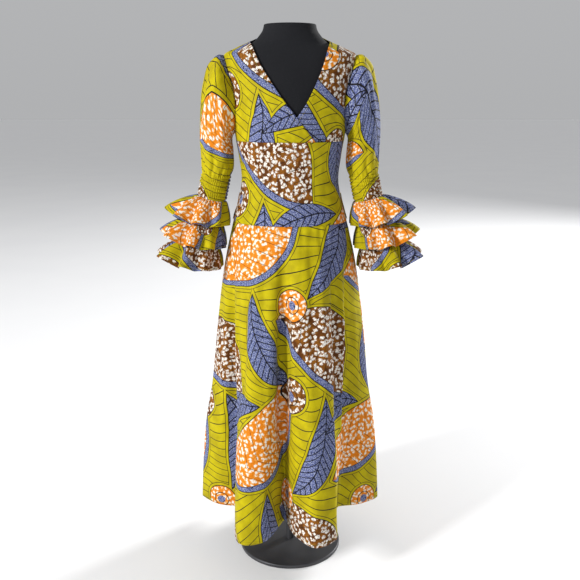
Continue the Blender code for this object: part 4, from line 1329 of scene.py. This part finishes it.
def build_stand():
    turned("stand_pole_bar", "stand_pole", [(POLE_RADIUS, 0.0103), (POLE_RADIUS, 0.7797)], 48)
    side, low = BASE_RADIUS - BASE_ROUNDING, BASE_TOP - BASE_ROUNDING
    rim = [(side + BASE_ROUNDING * math.sin(a), low + BASE_ROUNDING * math.cos(a))
           for a in np.linspace(0.5 * math.pi, 0, 7)]
    turned("stand_base_disc", "stand_base",
           [(BASE_RADIUS - 0.0008, 0.0), (BASE_RADIUS, 0.0008), *rim, (0.030, BASE_TOP)])


build_form()
build_stand()
build_fronts()
build_midriff()
build_back()
build_skirt()
for side, hand in (("left", 1), ("right", -1)):
    build_sleeve(side, hand, (0.10 + 0.17 * hand, 0.22), 6 * hand)
    for number, values in enumerate(TIERS, start=1):
        build_tier(side, hand, number, values, (0.11 * number + 0.2 * hand, 0.13 * number), 2)
    build_belt(side, hand, (0.36 - 0.12 * hand, 0.06))
build_knot()
for values, shift in zip(BOW_LOOPS, ((0.02, 0.24), (0.26, 0.40))):
    build_loop(values, shift)
for values, shift in zip(BELT_TAILS, ((0.31, 0.30), (0.12, 0.06))):
    build_tail(values, shift)


FLOOR_REACH = 60.0
SKY_LOW, SKY_HIGH = 0.45, 0.57  # the sky's strength at the horizon and overhead
LAMP_SIZE, LAMP_POWER = 1.0, 480
LAMP_AIM = (0, 0, 0.9)


def backdrop():
    """A pale floor that runs a long way out under soft light."""
    far = FLOOR_REACH
    mesh = bpy.data.meshes.new("floor")
    mesh.from_pydata([(-far, -far, 0), (far, -far, 0), (far, far, 0), (-far, far, 0)], [],
                     [(0, 1, 2, 3)])
    floor = bpy.data.objects.new("floor", mesh)
    bpy.context.scene.collection.objects.link(floor)
    g = Graph("pale_floor")
    mottle = g.noise(g.place(), 1.5, 2.0)
    g.set(Base_Color=g.mix(mottle.below(0.5, 0.3), (0.86, 0.86, 0.86), (0.84, 0.84, 0.845)),
          Roughness=0.7)
    mesh.materials.append(g.material)


def lamp(name, place):
    light = bpy.data.lights.new(name, "AREA")
    light.size = LAMP_SIZE
    light.energy = LAMP_POWER
    thing = bpy.data.objects.new(name, light)
    bpy.context.scene.collection.objects.link(thing)
    thing.location = place
    thing.rotation_euler = (Vector(LAMP_AIM) - Vector(place)).to_track_quat("-Z", "Y").to_euler()


def studio():
    """An even sky, brighter overhead, so that the far floor meets it with no hard line."""
    world = bpy.data.worlds.new("studio")
    bpy.context.scene.world = world
    world.use_nodes = True
    tree = world.node_tree
    place = tree.nodes.new("ShaderNodeTexCoord")
    split = tree.nodes.new("ShaderNodeSeparateXYZ")
    rise = tree.nodes.new("ShaderNodeMapRange")
    for key, value in (("From Min", 0.0), ("From Max", 1.0), ("To Min", SKY_LOW),
                       ("To Max", SKY_HIGH)):
        rise.inputs[key].default_value = value
    tree.links.new(place.outputs["Generated"], split.inputs[0])
    tree.links.new(split.outputs["Z"], rise.inputs["Value"])
    sky = tree.nodes["Background"]
    sky.inputs["Color"].default_value = (0.97, 0.98, 1.0, 1)
    tree.links.new(rise.outputs[0], sky.inputs["Strength"])


backdrop()
studio()
lamp("key", (-5.0, -4.0, 3.4))
lamp("back", (5.0, 4.0, 3.4))
bpy.context.scene.view_settings.view_transform = "Standard"
